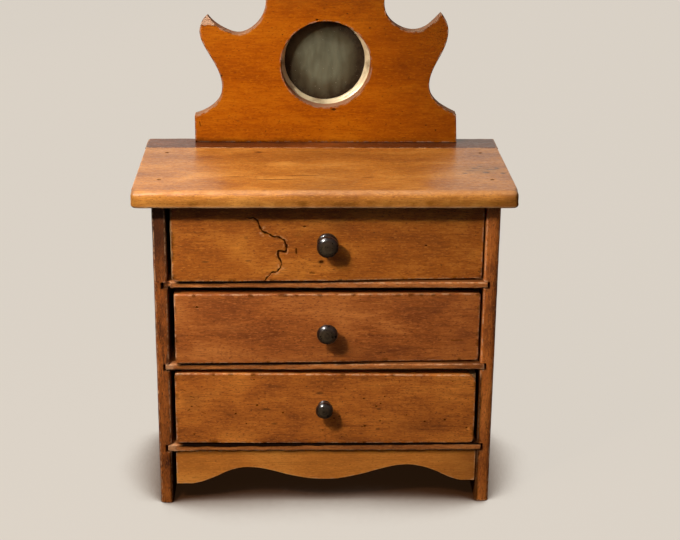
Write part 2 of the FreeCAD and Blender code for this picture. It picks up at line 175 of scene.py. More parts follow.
class Shader:
    """A material under construction: short calls that add nodes and wire them up."""

    def __init__(self, name):
        self.material = bpy.data.materials.new(name)
        self.material.use_nodes = True
        self.tree = self.material.node_tree
        self.surface = self.tree.nodes["Principled BSDF"]
        place = self.tree.nodes.new("ShaderNodeTexCoord").outputs["Object"]
        self.place = self.math3("MULTIPLY", place, (1000, 1000, 1000))

    def add(self, kind, values=None, **settings):
        node = self.tree.nodes.new(kind)
        for key, value in settings.items():
            setattr(node, key, value)
        for key, value in (values or {}).items():
            self.feed(node.inputs[key], value)
        return node

    def feed(self, socket, value):
        if isinstance(value, bpy.types.NodeSocket):
            self.tree.links.new(value, socket)
        else:
            socket.default_value = value

    def math(self, operation, a, b):
        return self.add("ShaderNodeMath", {0: a, 1: b}, operation=operation).outputs[0]

    def times(self, a, b):
        return self.math("MULTIPLY", a, b)

    def plus(self, a, b):
        return self.math("ADD", a, b)

    def math3(self, operation, a, b):
        return self.add("ShaderNodeVectorMath", {0: a, 1: b}, operation=operation).outputs[0]

    def layer(self, name):
        """One of the values that each vertex carries."""
        return self.add("ShaderNodeAttribute", attribute_name=name).outputs["Fac"]

    def noise(self, size, seed, detail=3.0, roughness=0.55, distortion=0.0):
        """Noise from about 0.25 to 0.75 whose lumps measure size = (x, y, z) millimetres."""
        shifted = self.math3("ADD", self.place, (seed * 31.7, seed * 57.1, seed * 13.9))
        scaled = self.math3("DIVIDE", shifted, size)
        return self.add("ShaderNodeTexNoise", {
            "Vector": scaled, "Scale": 1.0, "Detail": detail, "Roughness": roughness,
            "Distortion": distortion}).outputs["Fac"]

    def band(self, value, low, high, out_low=0.0, out_high=1.0):
        """value from low..high to out_low..out_high, and no further."""
        return self.add("ShaderNodeMapRange", {
            "Value": value, "From Min": low, "From Max": high,
            "To Min": out_low, "To Max": out_high}).outputs[0]

    def mix(self, share, a, b):
        node = self.add("ShaderNodeMix", {"Factor": share, 6: a, 7: b}, data_type="RGBA")
        return node.outputs[2]

    def ramp(self, value, *stops):
        """A colour ramp through (position, colour) stops."""
        node = self.add("ShaderNodeValToRGB", {"Fac": value})
        elements = node.color_ramp.elements
        while len(elements) < len(stops):
            elements.new(0.5)
        for element, (position, colour) in zip(elements, stops):
            element.position = position
            element.color = colour
        return node.outputs["Color"]

    def bump(self, height, strength, distance):
        previous = self.surface.inputs["Normal"]
        values = {"Height": height, "Strength": strength, "Distance": distance}
        if previous.is_linked:
            values["Normal"] = previous.links[0].from_socket
        self.feed(previous, self.add("ShaderNodeBump", values).outputs[0])

    def set(self, **values):
        """Sets the shader's own sockets, with spaces written as underscores."""
        for key, value in values.items():
            self.feed(self.surface.inputs[key.replace("_", " ")], value)


# ---- materials ----
def floor_material():
    """Pale paper that glows, with a painted shadow: by ambient occlusion its glow fades to brown close
    to the chest and under it.
    """
    s = Shader("floor_paper")
    shade = s.add("ShaderNodeAmbientOcclusion", {"Distance": 0.075}, samples=20).outputs["AO"]
    # painted shadow: where ambient occlusion is low, the glow and the base colour fade to brown
    glow = s.band(shade, 0.32, 0.72)
    paper = s.mix(glow, linear(150, 106, 70), linear(216, 208, 197))
    s.set(Base_Color=s.mix(glow, linear(60, 34, 17), linear(46, 38, 30)), Roughness=0.95,
          Specular_IOR_Level=0.0, Emission_Color=paper,
          Emission_Strength=s.math("MAXIMUM", s.math("POWER", glow, 1.6), 0.045))
    return s.material


def grain_sizes(axis, along, across):
    """(x, y, z) lump sizes of a figure that runs along this axis."""
    return tuple(along if i == axis else across for i in range(3))


def wood(name, tones, axis, seed, gloss=0.3, wear=1.0, speck=1.0, rough=0.42, contrast=1.0,
         sheen=0.35, spots=()):
    """Old varnished wood with grain along an axis. tones are dark, middle, light and worn.

    spots are (centre, half sizes, strength, softness): stains, knots and painted shade at places given
    in millimetres. A negative strength makes a lighter patch.
    """
    dark, middle, light, worn = tones
    s = Shader(name)
    cloud = s.noise(grain_sizes(axis, 46, 20), seed, detail=2, distortion=0.4)
    mottle = s.noise(grain_sizes(axis, 9.0, 1.6), seed + 1, detail=3, roughness=0.65)
    fibre = s.noise(grain_sizes(axis, 5.0, 0.5), seed + 2, detail=3, roughness=0.6)
    fleck = s.noise(grain_sizes(axis, 2.6, 0.8), seed + 3, detail=2, roughness=0.6)
    dash = s.noise(grain_sizes(axis, 2.0, 0.75), seed + 4, detail=2)
    line = s.noise(grain_sizes(axis, 38, 0.9), seed + 7, detail=3, roughness=0.6, distortion=0.3)
    dirt = s.noise((3.2, 3.2, 3.2), seed + 5, detail=5, roughness=0.65)

    blend = s.plus(s.times(cloud, 0.6), s.times(mottle, 0.4))
    spread = 0.2 / contrast
    colour = s.ramp(blend, (0.5 - spread, dark), (0.5, middle), (0.5 + spread, light))
    for figure, low, high, share, shade in (
            (line, 0.56, 0.7, 0.5, dark), (fibre, 0.5, 0.3, 0.4, dark),
            (dash, 0.55, 0.68, 0.7, dark), (fleck, 0.54, 0.7, 0.5, light)):
        colour = s.mix(s.band(figure, low, high, 0.0, share * contrast), colour, shade)
    blot = s.noise(grain_sizes(axis, 2.2, 1.1), seed + 6, detail=2)
    threshold = 0.72 - 0.03 * speck
    colour = s.mix(s.band(blot, threshold, threshold + 0.05, 0.0, 0.75), colour, linear(52, 22, 8))
    for centre, half, strength, softness in spots:
        away = s.math3("DIVIDE", s.math3("SUBTRACT", s.place, centre), half)
        reach = s.add("ShaderNodeVectorMath", {0: away}, operation="LENGTH").outputs["Value"]
        ragged = s.plus(reach, s.times(dash, 0.9))
        colour = s.mix(s.band(ragged, 1.45, 1.3 - softness, 0.0, abs(strength)), colour,
                       linear(44, 18, 7) if strength > 0 else light)

    edge = s.layer("edge")
    rub = s.times(s.band(edge, 1.2, 0.3), s.band(dirt, 0.45, 0.58))
    colour = s.mix(s.times(rub, 0.7 * wear), colour, worn)
    # chipped varnish shows the worn colour, and so do the painted highlights that this layer also
    # carries
    bare_and_highlight = s.layer("bare_and_highlight")
    colour = s.mix(s.times(bare_and_highlight, s.band(fleck, 0.3, 0.5, 0.6, 1.0)), colour, worn)
    # dirt goes near black, and so does the painted shade that this layer also carries
    grime_and_shade = s.layer("grime_and_shade")
    colour = s.mix(grime_and_shade, colour, linear(20, 10, 5))

    roughness = s.band(s.plus(s.times(dirt, 0.7),
                              s.times(fibre, 0.3)), 0.35, 0.65,
                       rough - 0.1, rough + 0.14)
    roughness = s.plus(roughness, s.times(s.math("MAXIMUM", rub, bare_and_highlight), 0.25))
    clean = s.band(s.math("MAXIMUM", grime_and_shade, bare_and_highlight), 0.0, 0.6, 1.0, 0.0)
    s.set(Base_Color=colour, Roughness=roughness,
          Specular_IOR_Level=s.times(clean, sheen),
          Coat_Weight=s.times(clean, gloss), Coat_Roughness=0.25)
    for figure, strength, height in ((fibre, 0.3, 0.14), (dirt, 0.25, 0.15), (dash, 0.3, 0.18)):
        s.bump(figure, strength, height * MM)
    return s.material


def bare_wood(name, tones, axis, seed):
    """Unvarnished pine or ply, a little dusty, with saw marks across the grain."""
    dark, light = tones
    s = Shader(name)
    figure = s.noise(grain_sizes(axis, 40, 2.4), seed, detail=4, distortion=0.8)
    fibre = s.noise(grain_sizes(axis, 7, 0.4), seed + 1, detail=3)
    dust = s.noise((9, 9, 9), seed + 2, detail=4)
    colour = s.ramp(figure, (0.4, dark), (0.6, light))
    colour = s.mix(s.band(fibre, 0.4, 0.65, 0.0, 0.4), colour, dark)
    colour = s.mix(s.band(dust, 0.5, 0.7, 0.0, 0.35), colour, linear(88, 66, 46))
    colour = s.mix(s.times(s.band(s.layer("edge"), 0.8, 0.1), 0.4), colour, dark)
    colour = s.mix(s.layer("grime_and_shade"), colour, (0.012, 0.007, 0.004, 1))
    s.set(Base_Color=colour, Roughness=s.band(dust, 0.3, 0.7, 0.62, 0.85),
          Specular_IOR_Level=0.3)
    s.bump(fibre, 0.35, 0.15 * MM)
    s.bump(figure, 0.3, 0.2 * MM)
    return s.material


def knob_material():
    """Nearly black stained and polished wood, its front face painted grey-brown as a painted reflection
    of the room.
    """
    s = Shader("ebonised_knob")
    rub = s.noise((2.5, 2.5, 2.5), 61, detail=4)
    fine = s.noise((0.5, 3.0, 0.5), 62, detail=3)
    colour = s.ramp(rub, (0.35, linear(16, 7, 4)), (0.55, linear(30, 14, 8)),
                    (0.75, linear(54, 30, 18)))
    # painted reflection: the front face is mixed towards grey-brown
    face_reflection = s.times(s.layer("bare_and_highlight"), s.band(rub, 0.3, 0.6, 0.7, 1.0))
    colour = s.mix(face_reflection, colour, linear(70, 58, 42))
    s.set(Base_Color=colour, Roughness=s.band(rub, 0.3, 0.7, 0.24, 0.36),
          Specular_IOR_Level=0.4, Coat_Weight=1.0, Coat_Roughness=0.11)
    s.bump(fine, 0.15, 0.06 * MM)
    s.bump(rub, 0.1, 0.1 * MM)
    return s.material


def metal(name, stain, colours, metallic, rough, bump, finish=None):
    """A stained metal. stain and finish are (lump size, seed, detail); the second shapes the
    gloss and the bumps where it is given. rough is (least, most) over a band of the noise."""
    s = Shader(name)
    patches = s.noise((stain[0],) * 3, *stain[1:])
    grain = s.noise((finish[0],) * 3, *finish[1:]) if finish else patches
    low, high, smooth, coarse = rough
    s.set(Base_Color=s.ramp(patches, *colours), Metallic=metallic,
          Roughness=s.band(grain, low, high, smooth, coarse))
    s.bump(grain, *bump)
    return s.material


def mirror_material():
    """Old silvered glass: grey-green, cloudy, with foxing round its edge and pale specks, and painted
    shade that darkens it towards the rim.
    """
    s = Shader("old_mirror")
    cloud = s.noise((22, 22, 26), 91, detail=3, distortion=0.4)
    wipe = s.noise((5, 5, 16), 92, detail=3, distortion=0.8)
    fox = s.noise((2.2, 2.2, 2.2), 93, detail=5, roughness=0.7)
    # painted shade: the glass is darker close to the rim and lighter towards its middle
    depth = s.band(s.layer("edge"), 0.0, 15.0)
    haze_and_rim_shade = s.plus(s.times(cloud, 0.4), s.times(wipe, 0.08))
    haze_and_rim_shade = s.plus(haze_and_rim_shade, s.times(depth, 0.34))
    colour = s.ramp(haze_and_rim_shade, (0.28, linear(62, 50, 32)), (0.44, linear(92, 86, 64)),
                    (0.66, linear(134, 136, 112)))
    foxing = s.times(s.band(fox, 0.42, 0.62), s.band(s.layer("edge"), 6.0, 0.0))
    colour = s.mix(foxing, colour, linear(34, 24, 14))
    speck = s.noise((0.8, 0.8, 0.8), 94, detail=1)
    colour = s.mix(s.band(speck, 0.77, 0.8, 0, 0.8), colour, linear(206, 206, 180))
    s.set(Base_Color=colour, Metallic=0.6,
          Roughness=s.band(wipe, 0.35, 0.65, 0.34, 0.5), Specular_IOR_Level=0.5,
          Coat_Weight=0.3, Coat_Roughness=0.06)
    s.bump(wipe, 0.06, 0.2 * MM)
    return s.material


# ---- mesh helpers ----
def noise(points, size, seed):
    """Smooth noise from -1 to 1 whose lumps are about size millimetres across."""
    place = points / (size * MM) + 0.37 * seed
    cell = np.floor(place).astype(np.int64)
    share = place - cell
    share = share * share * (3 - 2 * share)
    total = np.zeros(len(points))
    for corner in itertools.product((0, 1), repeat=3):
        at = cell + corner
        mixed = at[:, 0] * 73856093 ^ at[:, 1] * 19349663 ^ at[:, 2] * 83492791 ^ seed * 6542989
        mixed = (mixed ^ (mixed >> 13)) * 1274126177
        value = ((mixed ^ (mixed >> 16)) & 0xFFFF) / 32767.5 - 1
        weight = np.prod(np.where(corner, share, 1 - share), axis=1)
        total += weight * value
    return total


def lumps(points, size, seed):
    """The same noise from 0 to 1."""
    return 0.5 + 0.5 * noise(points, size, seed)


def ease(value):
    """0 below 0, 1 above 1 and an even curve between them."""
    value = np.clip(value, 0, 1)
    return value * value * (3 - 2 * value)


def upright(flat, y=0.0):
    """(x, z) points with a depth, or one depth each, as points in space."""
    return np.stack([flat[:, 0], np.broadcast_to(y, len(flat)), flat[:, 1]], 1)


def vertex_normals(points, faces):
    """Outward unit normals of a closed mesh of quads or triangles."""
    faces = np.asarray(faces)
    a = points[faces[:, 2]] - points[faces[:, 0]]
    b = points[faces[:, -1]] - points[faces[:, 1]]
    across = np.cross(a, b)
    total = np.zeros_like(points)
    for column in range(faces.shape[1]):
        np.add.at(total, faces[:, column], across)
    return total / np.maximum(np.linalg.norm(total, axis=1, keepdims=True), 1e-12)


def close_up(mesh):
    """Joins points in the same place and fills what little gaps are left."""
    work = bmesh.new()
    work.from_mesh(mesh)
    bmesh.ops.remove_doubles(work, verts=work.verts, dist=1e-7)
    gaps = [edge for edge in work.edges if edge.is_boundary]
    if gaps:
        bmesh.ops.holes_fill(work, edges=gaps, sides=0)
    work.to_mesh(mesh)
    work.free()


def piece(name, points, faces, material, body, nodes, edge=None, grime_and_shade=None, bare_and_highlight=None):
    """One piece of the object, which stands for some CAD nodes and rides on their body."""
    mesh = bpy.data.meshes.new(name)
    mesh.from_pydata(points.tolist(), [], [list(face) for face in faces])
    # the grime layer also carries painted shade, and the bare layer painted highlights and reflections
    for layer, values, plain in (("edge", edge, FAR_FROM_EDGE), ("grime_and_shade", grime_and_shade, 0.0),
                                 ("bare_and_highlight", bare_and_highlight, 0.0)):
        stored = mesh.attributes.new(layer, "FLOAT", "POINT")
        values = np.broadcast_to(plain if values is None else values, len(points))
        stored.data.foreach_set("value", values.astype(np.float32))
    close_up(mesh)
    mesh.shade_smooth()
    mesh.set_sharp_from_angle(angle=math.radians(50))
    mesh.materials.append(material)
    made = bpy.data.objects.new(name, mesh)
    bpy.context.scene.collection.objects.link(made)
    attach(made, body)
    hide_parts(*nodes)


# ---- boards with straight sides ----
def cuts(low, high, rounds, step, extra=()):
    """Grid lines from low to high: close together in each rounded end, then about step apart."""
    first, last = rounds
    share = np.linspace(0, 1, ROUND_CUTS + 1)[:-1]
    count = max(2, 1 + round((high - low - first - last) / step))
    middle = np.linspace(low + first, high - last, count)
    lines = [low + first * share, middle, high - last * share[::-1]]
    return np.unique(np.concatenate(lines + [np.asarray(extra, float)]))


def lattice(xs, ys, zs):
    """Vertices and quads of the surface of a box, cut along these grid lines."""
    shape = (len(xs), len(ys), len(zs))
    grid = np.stack(np.meshgrid(xs, ys, zs, indexing="ij"), -1)
    index = np.indices(shape)
    outside = np.zeros(shape, bool)
    for axis in range(3):
        outside |= (index[axis] == 0) | (index[axis] == shape[axis] - 1)
    number = np.full(shape, -1)
    number[outside] = np.arange(outside.sum())
    quads = []
    for axis in range(3):
        for end in (0, -1):
            sheet = np.take(number, end, axis)
            quad = np.stack([sheet[:-1, :-1], sheet[1:, :-1], sheet[1:, 1:], sheet[:-1, 1:]], -1)
            quad = quad.reshape(-1, 4)
            faces_outward = (end == -1) != (axis == 1)
            quads.append(quad if faces_outward else quad[:, ::-1])
    return grid[outside], np.concatenate(quads)


def arris_distance(points, low, high):
    """Distance in millimetres from each point of a box's surface to its nearest edge."""
    gaps = np.minimum(points - low, high - points)
    return np.sort(gaps, axis=1)[:, 1] / MM


def soften(points, low, high, radius):
    """Rounds the edges of a box. radius has one value per point and axis."""
    inner = np.clip(points, low + radius, high - radius)
    away = (points - inner) / radius
    length = np.linalg.norm(away, axis=1, keepdims=True)
    away = np.where(length > 1, away / np.maximum(length, 1e-9), away)
    return inner + away * radius


def board(node, material, body, seed, step=(3.0, 3.0, 3.0), radius=0.5, wave=0.08,
          zones=None, radius_at=None, extra=((), (), ()), shape=None, dents=(), bare_and_highlight_at=None,
          uneven=0.45):
    """A worn board in the box of a CAD node.

    step, radius and wave are in millimetres. zones gives the width of the rounded zones, a pair
    for each axis, where they differ from radius. radius_at(points) gives other radii, and
    shape(points, edge, grime) cuts the board further. dents are (centre, radius, depth, dirt).
    """
    low, high = (np.array(corner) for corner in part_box(node))
    zones = zones or ((radius, radius),) * 3
    lines = [cuts(low[i], high[i], [z * MM for z in zones[i]], step[i] * MM, extra[i])
             for i in range(3)]
    points, faces = lattice(*lines)
    edge = arris_distance(points, low, high)
    grime_and_shade = np.zeros(len(points))
    if radius_at:
        radii = radius_at(points)
    else:
        radii = np.full((len(points), 3), radius * MM)
    ragged = 1 + uneven * noise(points, 5, seed) - 0.2
    radii = radii * np.minimum(ragged, 1.0)[:, None]
    points = soften(points, low, high, radii)
    if shape:
        points, edge, grime_and_shade = shape(points, edge, grime_and_shade)
    normal = vertex_normals(points, faces)
    hollow = wave * MM * lumps(points, 14, seed + 1)
    hollow += 0.35 * wave * MM * lumps(points, 4, seed + 2)
    hollow *= ease(edge / 1.5)
    points = points - normal * hollow[:, None]
    for centre, reach, depth, dirt in dents:
        near = np.linalg.norm(points - np.asarray(centre), axis=1)
        share = ease((reach * MM - near) / (0.35 * reach * MM))
        points = points - normal * (share * depth * MM)[:, None]
        stain = ease((1.5 * reach * MM - near) / (0.8 * reach * MM))
        grime_and_shade = np.maximum(grime_and_shade, dirt * stain)
    bare_and_highlight = bare_and_highlight_at(points) if bare_and_highlight_at else None
    piece("worn_" + node, points, faces, material, body, [node], edge, grime_and_shade, bare_and_highlight)


# ---- boards with a sawn outline ----
def inward(loop):
    """Unit vectors in the plane of a closed (x, z) loop that point into the wood."""
    along = np.roll(loop, -1, 0) - np.roll(loop, 1, 0)
    along /= np.maximum(np.linalg.norm(along, axis=1, keepdims=True), 1e-12)
    return np.stack([-along[:, 1], along[:, 0]], 1)


def inside(points, loops):
    """Which points lie inside an outline and outside its holes."""
    crossings = np.zeros(len(points), int)
    for loop in loops:
        start, end = loop, np.roll(loop, -1, 0)
        rise = np.where(np.abs(end[:, 1] - start[:, 1]) < 1e-12, 1e-12, end[:, 1] - start[:, 1])
        for begin in range(0, len(points), 4000):
            x, z = points[begin:begin + 4000, 0, None], points[begin:begin + 4000, 1, None]
            spans = (start[:, 1] > z) != (end[:, 1] > z)
            reach = start[:, 0] + (z - start[:, 1]) / rise * (end[:, 0] - start[:, 0])
            crossings[begin:begin + 4000] += np.sum(spans & (x < reach), axis=1)
    return crossings % 2 == 1


def gap_to(points, targets):
    """Distance from each (x, z) point to the nearest of the targets."""
    nearest = np.full(len(points), np.inf)
    for begin in range(0, len(targets), 400):
        away = points[:, None, :] - targets[None, begin:begin + 400, :]
        nearest = np.minimum(nearest, np.sqrt((away ** 2).sum(-1)).min(1))
    return nearest


def honeycomb(low, high, spacing):
    """Points in staggered rows that fill a rectangle."""
    rows = np.arange(low[1], high[1], spacing * math.sqrt(3) / 2)
    points = []
    for i, z in enumerate(rows):
        xs = np.arange(low[0] + (i % 2) * spacing / 2, high[0], spacing)
        points.append(np.stack([xs, np.full(len(xs), z)], 1))
    return np.concatenate(points)


def fill(loops, inner):
    """Triangles that fill an outline less its holes. Numbers count the loops, then inner."""
    every = np.concatenate(list(loops) + [inner])
    edges, start = [], 0
    for loop in loops:
        edges += [(start + i, start + (i + 1) % len(loop)) for i in range(len(loop))]
        start += len(loop)
    result = delaunay_2d_cdt([Vector(p) for p in every], edges, [], 0, 1e-9)
    triangles = np.array(result[2])
    places = np.array([tuple(place) for place in result[0]])
    original = np.array([first[0] if first else np.linalg.norm(every - place, axis=1).argmin()
                         for first, place in zip(result[3], places)])
    keep = inside(places[triangles].mean(1), loops)
    triangles = original[triangles[keep]]
    a, b, c = triangles.T
    return triangles[(a != b) & (b != c) & (c != a)]


def plate(loops, y_front, y_back, rounds, spacing, seed, fine=(), waist=None):
    """A board sawn to an outline, the first of loops; the others are holes, which run clockwise.

    rounds are the radii of the front and back arrises in metres. fine are (points, reach,
    spacing) of places that need closer triangles. waist is (y, low x, high x), where the board
    steps in behind that depth. Returns points, faces, the distance to the outline in
    millimetres, and how far up each point of the sawn sides looks, from 0 to 1.
    """
    turn = np.linspace(0, math.pi / 2, 5)
    points, upward, faces, fronts, backs = [], [], [], [], []
    total = 0
    for loop in loops:
        count, direction = len(loop), inward(loop)
        front = rounds[0] * (0.75 + 0.25 * noise(upright(loop), 6, seed + 3))
        back, flush = np.full(count, rounds[1]), np.zeros(count)
        depths = [waist[0]] * 2 if waist else [y_front + (y_back - y_front) * t for t in (0.35, 0.65)]
        rings = [(front * (1 - math.sin(t)), y_front + front * (1 - math.cos(t))) for t in turn]
        rings += [(flush, flush + y) for y in depths]
        rings += [(back * (1 - math.cos(t)), y_back - back * (1 - math.sin(t))) for t in turn]
        numbers = total + np.arange(len(rings) * count).reshape(-1, count)
        outlines = []
        for place, (inset, y) in enumerate(rings):
            ring = loop + direction * inset[:, None]
            if waist and place > len(turn):
                ring[:, 0] = np.clip(ring[:, 0], waist[1], waist[2])
            behind_arris = y > y_front + 0.5 * rounds[0]
            upward.append(np.maximum(-direction[:, 1], 0) * behind_arris)
            points.append(upright(ring, y))
            outlines.append(ring)
        for here, behind in zip(numbers, numbers[1:]):
            faces.append(np.stack([here, behind, np.roll(behind, -1), np.roll(here, -1)], 1))
        fronts.append((numbers[0], outlines[0]))
        backs.append((numbers[-1], outlines[-1]))
        total += numbers.size

    for found, y, outward in ((fronts, y_front, True), (backs, y_back, False)):
        rims = [rim for _, rim in found]
        spots = honeycomb(rims[0].min(0), rims[0].max(0), spacing if outward else 2 * spacing)
        if outward:
            spots = refine(spots, fine)
        spots = spots[inside(spots, rims)]
        clear = gap_to(spots, np.concatenate(rims))
        kept = clear > 0.45 * spacing
        if outward:
            kept |= nearness(spots, fine)
        spots = spots[kept & (clear > 0.12 * MM)]
        numbers = np.concatenate([n for n, _ in found] + [total + np.arange(len(spots))])
        triangles = numbers[fill(rims, spots)]
        faces.append(triangles if outward else triangles[:, ::-1])
        points.append(upright(spots, y))
        upward.append(np.zeros(len(spots)))
        total += len(spots)
    points = np.concatenate(points)
    depth = np.minimum(points[:, 1] - y_front, y_back - points[:, 1])
    edge = np.maximum(gap_to(points[:, [0, 2]], np.concatenate(loops)), depth) / MM
    faces = [face for group in faces for face in group.tolist()]
    return points, faces, edge, np.concatenate(upward)


def refine(spots, fine):
    """Adds closer points round each fine place."""
    for centre, reach, spacing in fine:
        centre = np.asarray(centre)
        extra = honeycomb(centre.min(0) - reach, centre.max(0) + reach, spacing)
        extra = extra[gap_to(extra, centre) < reach]
        spots = spots[gap_to(spots, centre) > reach]
        spots = np.concatenate([spots, extra])
    return spots


def nearness(spots, fine):
    """Which points are in a fine place."""
    near = np.zeros(len(spots), bool)
    for centre, reach, _ in fine:
        near |= gap_to(spots, np.asarray(centre)) < reach
    return near


# ---- turned pieces ----
def flow(runs, step):
    """A smooth line through runs of flat points. Each run goes on from the end of the one before,
    with a corner between them."""
    line = []
    for number, run in enumerate(runs):
        run = np.array([*runs[number - 1][-1:], *run] if number else run, float)
        ends = np.concatenate([[2 * run[0] - run[1]], run, [2 * run[-1] - run[-2]]])
        for a, b, c, d in zip(ends, ends[1:], ends[2:], ends[3:]):
            count = max(1, math.ceil(np.linalg.norm(c - b) / step))
            for t in np.arange(count) / count:
                line.append(0.5 * (2 * b + (c - a) * t + (2 * a - 5 * b + 4 * c - d) * t ** 2
                                   + (3 * b - a - 3 * c + d) * t ** 3))
        line.append(run[-1])
    return np.array(line)


def turned(profile, centre, closed=False, segments=64, wobble=0.0, seed=0):
    """Points and quads of a profile of (radius, depth), turned round an axis along Y.

    An open profile starts and ends on the axis, and a closed one makes a ring. Depth runs
    towards -Y from the centre.
    """
    profile = np.asarray(profile, float)
    inner = profile if closed else profile[1:-1]
    angle = np.arange(segments) / segments * 2 * math.pi
    points = np.stack([
        centre[0] + inner[:, :1] * np.cos(angle),
        centre[1] - inner[:, 1:] + 0 * angle,
        centre[2] + inner[:, :1] * np.sin(angle)], -1).reshape(-1, 3)
    if wobble:
        points[:, 0] += wobble * noise(points, 5, seed)
        points[:, 2] += wobble * noise(points, 5, seed + 1)
    numbers = np.arange(len(points)).reshape(-1, segments)
    onward = np.roll(numbers, -1, 1)
    faces = []
    for ring in range(len(inner) - (0 if closed else 1)):
        far = (ring + 1) % len(inner)
        faces += np.stack([numbers[ring], numbers[far], onward[far], onward[ring]], 1).tolist()
    if not closed:
        tips = [[centre[0], centre[1] - depth, centre[2]] for depth in (profile[0, 1], profile[-1, 1])]
        faces += [[len(points), a, b] for a, b in zip(numbers[0], onward[0])]
        faces += [[len(points) + 1, b, a] for a, b in zip(numbers[-1], onward[-1])]
        points = np.concatenate([points, tips])
    return points, faces


# ---- marks of age ----
def along_line(points, line):
    """Distance from (x, z) points to a line of points, and the share of its length."""
    line = np.asarray(line, float)
    lengths = np.linalg.norm(np.diff(line, axis=0), axis=1)
    before = np.concatenate([[0], np.cumsum(lengths)])
    nearest, share = np.full(len(points), np.inf), np.zeros(len(points))
    for a, b, length, so_far in zip(line, line[1:], lengths, before):
        t = np.clip(((points - a) @ (b - a)) / length ** 2, 0, 1)
        gap = np.linalg.norm(points - (a + t[:, None] * (b - a)), axis=1)
        closer = gap < nearest
        nearest[closer] = gap[closer]
        share[closer] = ((so_far + t * length) / before[-1])[closer]
    return nearest, share


class Marks:
    """The cracks, holes and scratches of one face, in millimetres in its plane."""

    def __init__(self, origin, seed, cracks=(), pits=(), scratches=(), scatter=None):
        """cracks are (points, half width, depth), pits (x, z, radius, depth) and scratches
        (x, z, x, z, half width, depth). scatter is (count, low, high, radii, depth): worm holes
        at random places in a rectangle."""
        self.seed = seed
        rng = np.random.default_rng(seed)
        if scatter:
            count, low, high, radii, depth = scatter
            pits += tuple((*rng.uniform(low, high), rng.uniform(*radii), depth) for _ in range(count))
        self.cracks = []
        for points, half_width, depth in cracks:
            line = dense(np.array(points) * MM)[::3] + origin
            wander = [noise(upright(line), 1.5, seed + n) for n in (1, 2)]
            line = line + 0.35 * MM * np.stack(wander, 1)
            self.cracks.append((line, half_width * MM, depth * MM))
        self.pits = [(np.array((x, z)) * MM + origin, radius * MM, depth * MM)
                     for x, z, radius, depth in pits]
        self.scratches = [(np.array((ends[:2], ends[2:])) * MM + origin, half_width * MM, depth * MM)
                          for *ends, half_width, depth in scratches]

    def fine(self):
        """The places where the mesh has to be closer, for plate()."""
        places = [(dense(line), 3.2 * width, 0.16 * MM) for line, width, _ in self.cracks]
        places += [(centre[None], 1.5 * radius + 0.1 * MM, max(0.12 * MM, radius / 4))
                   for centre, radius, _ in self.pits]
        places += [(dense(ends), 2.5 * width, 0.13 * MM) for ends, width, _ in self.scratches]
        return places

    def carve(self, flat):
        """Depth below the surface in metres, grime, and the painted highlight beside cracks, at (x, z)
        points.
        """
        depth, grime_and_shade, bare_and_highlight = (np.zeros(len(flat)) for _ in range(3))
        solid = upright(flat)
        for line, width, deep in self.cracks:
            gap, share = along_line(flat, line)
            beads = 0.75 + 0.6 * np.abs(noise(solid, 4, self.seed + 5))
            beads = np.maximum(beads + 0.6 * noise(solid, 1.2, self.seed + 6), 0.3)
            taper = ease(share / 0.12) * ease((1 - share) / 0.05)
            open_width = width * beads * (0.4 + 0.6 * taper)
            cut = ease(1.4 - gap / open_width)
            depth = np.maximum(depth, deep * cut * (0.4 + 0.6 * taper))
            grime_and_shade = np.maximum(grime_and_shade, 0.93 * cut)
            # painted highlight: pale patches beside the crack, where a raised lip would catch the light
            lip_patches = noise(solid, 1.8, self.seed + 7) > 0.15
            lip = ease(1 - np.abs(gap / open_width - 2.1) / 0.8) * lip_patches
            bare_and_highlight = np.maximum(bare_and_highlight, 0.7 * lip * taper)
        for centre, radius, deep in self.pits:
            gap = np.linalg.norm((flat - centre) * (0.75, 1.1), axis=1)
            gap = gap * (1 + 0.3 * noise(solid, 1.1, self.seed + 8))
            cut = ease((radius - gap) / (0.45 * radius) + 0.3)
            depth = np.maximum(depth, deep * cut)
            grime_and_shade = np.maximum(grime_and_shade, 0.72 * cut)
        for ends, width, deep in self.scratches:
            gap, share = along_line(flat, ends)
            cut = ease(1.2 - gap / width) * ease(share / 0.2) * ease((1 - share) / 0.2)
            depth = np.maximum(depth, deep * cut)
            grime_and_shade = np.maximum(grime_and_shade, 0.8 * cut)
        return depth, grime_and_shade, bare_and_highlight


def dense(line):
    """A line's points every 0.2 mm."""
    line = np.asarray(line, float)
    made = []
    for a, b in zip(line, line[1:]):
        count = max(1, math.ceil(np.linalg.norm(b - a) / (0.2 * MM)))
        made += [a + (b - a) * t for t in np.arange(count) / count]
    return np.array(made + [line[-1]])


# ---- the carcass ----
SHELVES = ("bottom_board", "lower_divider", "upper_divider")
SHELF_END_GAP = 1.0 * MM                    # between a shelf's end and the end of its slot
SHELF_END_SHOWS = 4.6 * MM                  # from a shelf's end to where the drawer faces begin
SLOT_UNDER, SLOT_OVER = 0.15 * MM, 0.2 * MM    # room in a slot under and over its shelf
NAIL_INSET = {"top_nails": 1.1 * MM, "back_nails": 0.7 * MM}    # their middles in their box
NOSE, LIP, TOP_ENDS, TOP_JOINT = 4.6 * MM, 1.4 * MM, 2.8 * MM, 0.35 * MM


def radii_with(points, plain, zone, axes, radius):
    """The plain radius in millimetres everywhere, and another one along these axes in a zone."""
    made = np.full_like(points, plain * MM)
    for axis in axes:
        made[zone, axis] = radius * MM
    return made


def nosing_radii(points):
    """The top: a broad round along the upper front edge, a tight one below, a crisp joint."""
    x, y, z = points.T
    low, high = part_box("top_board")
    radii = np.empty_like(points)
    behind = ease((y - low.y - NOSE) / (5 * MM))
    radii[:, 0] = TOP_ENDS - 1.0 * MM * behind
    from_end = np.minimum(x - low.x, high.x - x)
    lip = LIP + 1.2 * MM * ease(1 - from_end / (5 * MM))
    front = np.where(z > low.z + 3 * MM, NOSE, lip)
    radii[:, 1] = np.where(y - low.y < 20 * MM, front, TOP_JOINT)
    radii[:, 2] = front + (0.9 * MM - front) * behind
    return radii


